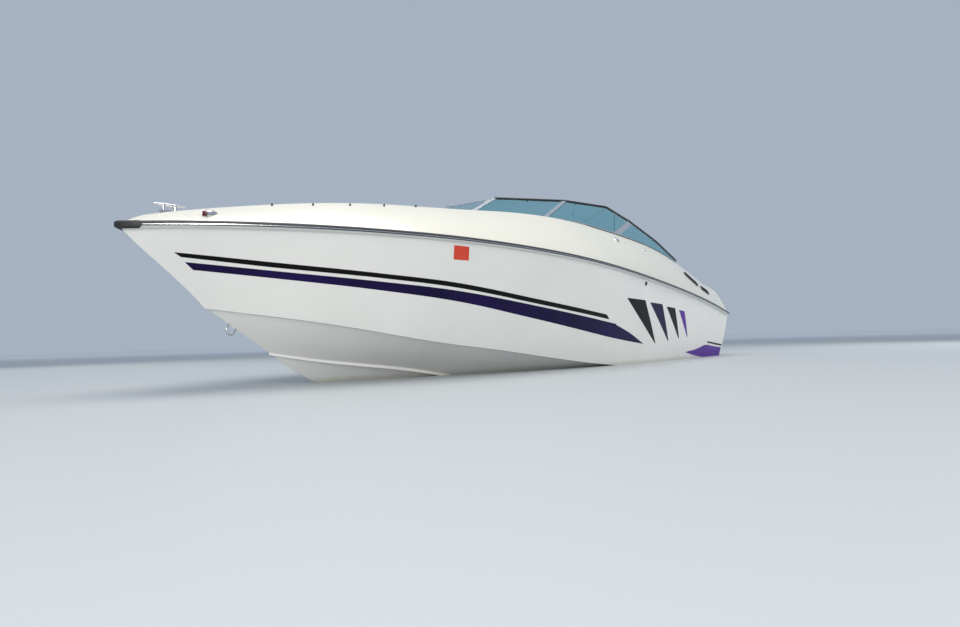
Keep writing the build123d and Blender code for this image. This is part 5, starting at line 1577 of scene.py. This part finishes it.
@dataclass
class Seating:
    """All the upholstery: seams and accents are an axis and a share of the cushion along it."""

    seat_seams: tuple[tuple[int, float], ...] = ((1, 0.2), (1, 0.8), (0, 0.42))
    back_seams: tuple[tuple[int, float], ...] = ((1, 0.2), (1, 0.8), (2, 0.62))
    bench_seams: tuple[tuple[int, float], ...] = ((1, 0.02), (1, 0.25), (1, 0.5), (1, 0.75), (1, 0.98))
    bench_back_seams: tuple[tuple[int, float], ...] = ((1, 0.25), (1, 0.5), (1, 0.75), (2, 0.6))
    bow_seams: tuple[tuple[int, float], ...] = ((0, 0.25), (0, 0.5), (0, 0.75))
    bow_back_seams: tuple[tuple[int, float], ...] = ((1, 0.5),)
    sun_pad_seams: tuple[tuple[int, float], ...] = ((1, 0.33), (1, 0.67), (0, 0.5))
    bench_voxel: float = 0.015
    bow_voxel: float = 0.014
    sun_pad_voxel: float = 0.016

    def build(self) -> None:
        """Covers every cushion and backrest."""
        for who in ("passenger", "helm"):
            Padding(f"{who}_seat_cushion", Body.BOAT, 2, self.seat_seams, (1, 0.2)).build()
            Padding(f"{who}_seat_back", Body.BOAT, 0, self.back_seams, (1, 0.2)).build()
        Padding("bench_cushion", Body.BOAT, 2, self.bench_seams, voxel=self.bench_voxel).build()
        Padding("bench_back", Body.BOAT, 0, self.bench_back_seams, (2, 0.0), voxel=self.bench_voxel).build()
        for side in Side:
            name = f"bow_{side.name.lower()}"
            Padding(f"{name}_cushion", Body.BOAT, 2, self.bow_seams, voxel=self.bow_voxel).build()
            Padding(f"{name}_backrest", Body.BOAT, 0, self.bow_back_seams).build()
        Padding("sun_pad", Body.HATCH, 2, self.sun_pad_seams, (1, 0.06), voxel=self.sun_pad_voxel).build()


@dataclass
class Cockpit:
    """Panels, wheel, throttle and carpets.

    mark_end, mark_short, pointer_tail, pointer_tip and pointer_cap are shares of a dial's radius.
    """

    face_foot: Point = (-0.395, -0.56, 1.09)
    face_rise: Point = (0.070, 0.0, 0.250)
    gauges: tuple[Point, ...] = ((-0.095, 0.186, 0.048), (0.095, 0.186, 0.048), (-0.18, 0.178, 0.028),
                                 (0.18, 0.178, 0.028), (0.0, 0.212, 0.028))
    bezel: float = 0.005
    dial_level: float = 0.0012
    dial_thickness: float = 0.0014
    dial_gap: float = 0.0006
    mark_count: int = 24
    mark_from: float = -45.0
    mark_span: float = 270.0
    mark_end: float = 0.93
    mark_short: float = 0.11
    mark_half_width: float = 0.0005
    mark_thickness: float = 0.0004
    mark_lift: float = 0.0003
    pointer_tail: float = 0.18
    pointer_tip: float = 0.78
    pointer_half_width: float = 0.0008
    pointer_thickness: float = 0.0006
    pointer_lift: float = 0.0015
    pointer_angle: float = 210.0
    pointer_cap: float = 0.13
    pointer_cap_height: float = 0.003
    rim_lift: float = 0.006
    switch_across: float = 0.155
    switch_up: float = 0.075
    switch_pitch: float = 0.030
    switch_count: int = 4
    plate_half: Spot = (0.064, 0.016)
    plate_thickness: float = 0.003
    rocker_half: Spot = (0.010, 0.011)
    rocker_height: float = 0.009
    switch_round: float = 0.0015
    wheel_centre: Point = (-0.4634, -0.56, 1.2049)
    wheel_tilt: float = 25.0
    grip_from: float = 0.156
    hub_to: float = 0.050
    cap_lift: float = 0.0165
    cap_thickness: float = 0.008
    cap_radius: float = 0.034
    cap_edge_radius: float = 0.036
    cap_edge_bar: float = 0.003
    cap_round: float = 0.002
    lever_side: float = -0.876
    lever_heights: Spot = (1.05, 1.145)
    carpets: tuple[tuple[str, Point, Point], ...] = (
        ("cockpit_carpet", (-1.775, -0.885, 0.351), (-0.275, 0.885, 0.359)),
        ("walkway_carpet", (-0.255, -0.28, 0.431), (0.785, 0.28, 0.438)),
        ("bow_carpet", (0.805, -0.25, 0.521), (2.205, 0.25, 0.528)))
    carpet_round: float = 0.003
    edge_corner: float = 0.03
    edge_step: float = 0.05
    edge_radius: float = 0.005
    up: Vector = field(init=False)
    out: Vector = field(init=False)

    def __post_init__(self) -> None:
        """Works out the directions of the helm's sloping face."""
        self.up = Vector(self.face_rise).normalized()
        self.out = STARBOARD_WAY.cross(self.up)

    def build(self) -> None:
        """Dresses the cockpit."""
        for node in ("helm_panel", "passenger_panel"):
            finish_node(node, MOULDED_BLACK.material())
        finish_node("steering_wheel", GREY_VINYL.material(), SATIN_ALUMINIUM.material(),
                    MOULDED_BLACK.material(), choose=self.choose_wheel)
        finish_node("seat_shells", WHITE_DECK.material())
        finish_node("throttle_control", MOULDED_BLACK.material(), POLISHED_STEEL.material(),
                    choose=self.choose_lever)
        for number, (across, up, radius) in enumerate(self.gauges, start=1):
            self.fit_gauge(f"gauge_{number}", self.on_face(across, up), radius)
        self.fit_switches()
        self.fit_hub()
        for carpet in self.carpets:
            self.lay_carpet(*carpet)

    def choose_wheel(self, middle: Vector, normal: Vector) -> int:
        """Grip, spokes or hub, by distance from the wheel's centre."""
        away = (middle - Vector(self.wheel_centre)).length
        return 0 if away > self.grip_from else 1 if away > self.hub_to else 2

    def choose_lever(self, middle: Vector, normal: Vector) -> int:
        """Housing of the throttle, or its lever."""
        low, high = self.lever_heights
        return int(middle.y > self.lever_side and low < middle.z < high)

    def on_face(self, across: float, up: float) -> Vector:
        """Point of the helm's sloping face, from the wheel's line to starboard and up the face."""
        return Vector(self.face_foot) + STARBOARD_WAY * across + self.up * up

    def fit_gauge(self, name: str, centre: Vector, radius: float) -> None:
        """Dial, marks, pointer and rim of one gauge.

        Args:
            name: The gauge's name.
            centre: The middle of its place on the face.
            radius: The bezel's radius.
        """
        inner = radius - self.bezel - self.dial_gap
        level = centre + self.out * self.dial_level
        dial = drum(f"{name}_dial", centre, self.out, self.dial_thickness, inner)
        dress(dial, Body.BOAT, DIAL_BLACK.material())
        marks = []
        for number in range(self.mark_count + 1):
            size = 1 + (number % 4 == 0)
            half, end = self.mark_half_width * size, inner * self.mark_end
            mark = block("mark", (end - inner * self.mark_short * size, -half, 0),
                         (end, half, self.mark_thickness))
            self.turn_on_dial(mark, level + self.out * self.mark_lift,
                              self.mark_from + self.mark_span * number / self.mark_count)
            marks.append(mark)
        dress(joined(f"{name}_marks", marks), Body.BOAT, DIAL_WHITE.material())
        pointer = block("pointer", (-inner * self.pointer_tail, -self.pointer_half_width, 0),
                        (inner * self.pointer_tip, self.pointer_half_width, self.pointer_thickness))
        self.turn_on_dial(pointer, level + self.out * self.pointer_lift, self.pointer_angle)
        cap = drum("cap", level, self.out, self.pointer_cap_height, inner * self.pointer_cap, 24)
        dress(joined(f"{name}_pointer", [pointer, cap]), Body.BOAT, NEEDLE_RED.material())
        rim = ring(f"{name}_rim", centre + self.out * self.rim_lift, self.out, radius - self.bezel / 2,
                   self.bezel / 2)
        dress(rim, Body.BOAT, POLISHED_STEEL.material())

    def turn_on_dial(self, piece: Piece, centre: Vector, angle: float) -> None:
        """Lays a piece on the helm's face.

        Args:
            piece: The piece, modelled at the origin with its top towards +Z.
            centre: Where its origin goes.
            angle: Its turn in degrees from starboard.
        """
        base = Matrix((STARBOARD_WAY, self.up, self.out)).transposed().to_4x4()
        piece.matrix_world = Matrix.Translation(centre) @ base @ Matrix.Rotation(math.radians(angle), 4, "Z")
        seat(piece, piece.name)

    def fit_switches(self) -> None:
        """Rocker switches in a row each side of the column, on plain plates."""
        rockers, plates = [], []
        for middle in (-self.switch_across, self.switch_across):
            plates.append(self.tile("plate", middle, self.plate_half, self.plate_thickness))
            for number in range(self.switch_count):
                across = middle + (number - (self.switch_count - 1) / 2) * self.switch_pitch
                rockers.append(self.tile("rocker", across, self.rocker_half, self.rocker_height))
        for name, pieces, coat in (("switch_plates", plates, BLACK_COAT), ("switches", rockers, DIAL_BLACK)):
            piece = joined(name, pieces)
            soften(piece, self.switch_round)
            dress(piece, Body.BOAT, coat.material())

    def tile(self, name: str, across: float, half: Spot, height: float) -> Piece:
        """Flat block on the helm's face, in the row of switches.

        Args:
            name: Its name.
            across: Its place from the wheel's line, to starboard.
            half: Half of its width and of its depth.
            height: How far it stands out.

        Returns:
            The block.
        """
        piece = block(name, (-half[0], -half[1], 0), (half[0], half[1], height))
        self.turn_on_dial(piece, self.on_face(across, self.switch_up), 0)
        return piece

    def fit_hub(self) -> None:
        """Plain cap on the wheel's hub."""
        tilt = math.radians(self.wheel_tilt)
        way = Vector((-math.cos(tilt), 0, math.sin(tilt)))
        centre = Vector(self.wheel_centre) + way * self.cap_lift
        cap = joined("hub_cap", [drum("cap", centre, way, self.cap_thickness, self.cap_radius),
                                 ring("edge", centre, way, self.cap_edge_radius, self.cap_edge_bar)])
        soften(cap, self.cap_round)
        dress(cap, Body.WHEEL, SATIN_ALUMINIUM.material())

    def lay_carpet(self, name: str, low: Point, high: Point) -> None:
        """Carpet on one sole, with a bound edge.

        Args:
            name: The carpet's name.
            low: Its corner with the least numbers.
            high: The opposite corner.
        """
        carpet = block(name, low, high)
        soften(carpet, self.carpet_round, 2)
        dress(carpet, Body.BOAT, GREY_CARPET.material())
        middle = [(a + b) / 2 for a, b in zip(low, high)]
        half = [(b - a) / 2 for a, b in zip(low, high)]
        path = [Vector((middle[0] + spot[0], middle[1] + spot[1], high[2]))
                for spot, _ in outline(half[0], half[1], self.edge_corner, self.edge_step)]
        edge = tube(f"{name}_edge", path, self.edge_radius, closed=True)
        dress(edge, Body.BOAT, CHARCOAL_RUBBER.material())


@dataclass
class Stern:
    """Hatch, engine, platform, ladder and sterndrive."""

    platform_top: float = 0.400
    pad_reach: Spot = (0.05, 0.37)
    pad_sides: tuple[Spot, ...] = ((-0.80, -0.30), (-0.25, 0.25), (0.30, 0.80))
    pad_thickness: float = 0.004
    pad_round: float = 0.0012
    rib_count: int = 16
    rib_half_width: float = 0.005
    rib_inset: float = 0.012
    rib_short: float = 0.008
    bolt_out: float = 0.046
    bolt_heights: Point = (-0.31, -0.105, 0.10)
    bolt_half_span: float = 0.185
    bolt_washer: Spot = (0.004, 0.015)
    bolt_nut: Spot = (0.012, 0.011)
    bolt_round: float = 0.001
    shaft_height: float = -0.67
    shaft_gap: float = 0.0008
    shaft_washer: Spot = (0.004, 0.024)
    shaft_nut: Spot = (0.021, 0.020)
    shaft_nut_round: float = 0.0015

    def build(self) -> None:
        """Dresses everything at the stern."""
        for finish, nodes in (
                (WHITE_DECK, ("engine_hatch", "swim_platform")),
                (ENGINE_PAINT, ("engine_block",)),
                (DRIVE_PAINT, ("gimbal_housing", "gimbal_ring", "drive_leg", "trim_cylinders")),
                (CHARCOAL_RUBBER, ("drive_bellows",)),
                (POLISHED_STEEL, ("propeller", "trim_rods", "boarding_ladder", "hatch_strut_rods")),
                (BLACK_COAT, ("hatch_strut_tubes", "strut_brackets"))):
            for node in nodes:
                finish_node(node, finish.material())
        for number, (low_y, high_y) in enumerate(self.pad_sides, start=1):
            self.lay_tread(f"platform_pad_{number}", low_y, high_y)
        self.bolt_housing()
        self.fit_propeller_nut()

    def lay_tread(self, name: str, low_y: float, high_y: float) -> None:
        """Ribbed rubber pad on the swim platform.

        Args:
            name: The pad's name.
            low_y: Its starboard edge.
            high_y: Its port edge.
        """
        near, far = self.pad_reach
        start, end, foot = TRANSOM_X - far, TRANSOM_X - near, self.platform_top
        ribs = [block("base", (start, low_y, foot), (end, high_y, foot + self.pad_thickness / 2))]
        pitch = (end - start - 2 * self.rib_inset) / (self.rib_count - 1)
        for number in range(self.rib_count):
            x = start + self.rib_inset + number * pitch
            ribs.append(block("rib", (x - self.rib_half_width, low_y + self.rib_short, foot),
                              (x + self.rib_half_width, high_y - self.rib_short, foot + self.pad_thickness)))
        pad = joined(name, ribs)
        soften(pad, self.pad_round, 2)
        dress(pad, Body.BOAT, CHARCOAL_RUBBER.material())

    def bolt_housing(self) -> None:
        """Bolts through the drive's housing into the transom."""
        parts = []
        for y in (-self.bolt_half_span, self.bolt_half_span):
            for z in self.bolt_heights:
                start = Vector((TRANSOM_X - self.bolt_out, y, z))
                parts.append(drum("washer", start, AFT, *self.bolt_washer, 24))
                parts.append(drum("nut", start, AFT, *self.bolt_nut, 6))
        bolts = joined("housing_bolts", parts)
        soften(bolts, self.bolt_round, 2)
        dress(bolts, Body.BOAT, POLISHED_STEEL.material())

    def fit_propeller_nut(self) -> None:
        """Washer and nut on the shaft, behind the propeller's boss."""
        start = Vector((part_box("propeller")[0].x - self.shaft_gap, 0, self.shaft_height))
        nut = joined("propeller_nut", [drum("washer", start, AFT, *self.shaft_washer, 32),
                                       drum("nut", start, AFT, *self.shaft_nut, 6)])
        soften(nut, self.shaft_nut_round, 2)
        dress(nut, Body.LEG, POLISHED_STEEL.material())


def main() -> None:
    """Builds every sub-assembly in order."""
    logging.basicConfig(level=logging.INFO, format="%(message)s")
    for assembly in (Studio(), Topsides(), Glazing(), Fittings(), Seating(), Cockpit(), Stern()):
        LOG.info("Building %s", type(assembly).__name__)
        assembly.build()


if __name__ == "__main__":
    main()
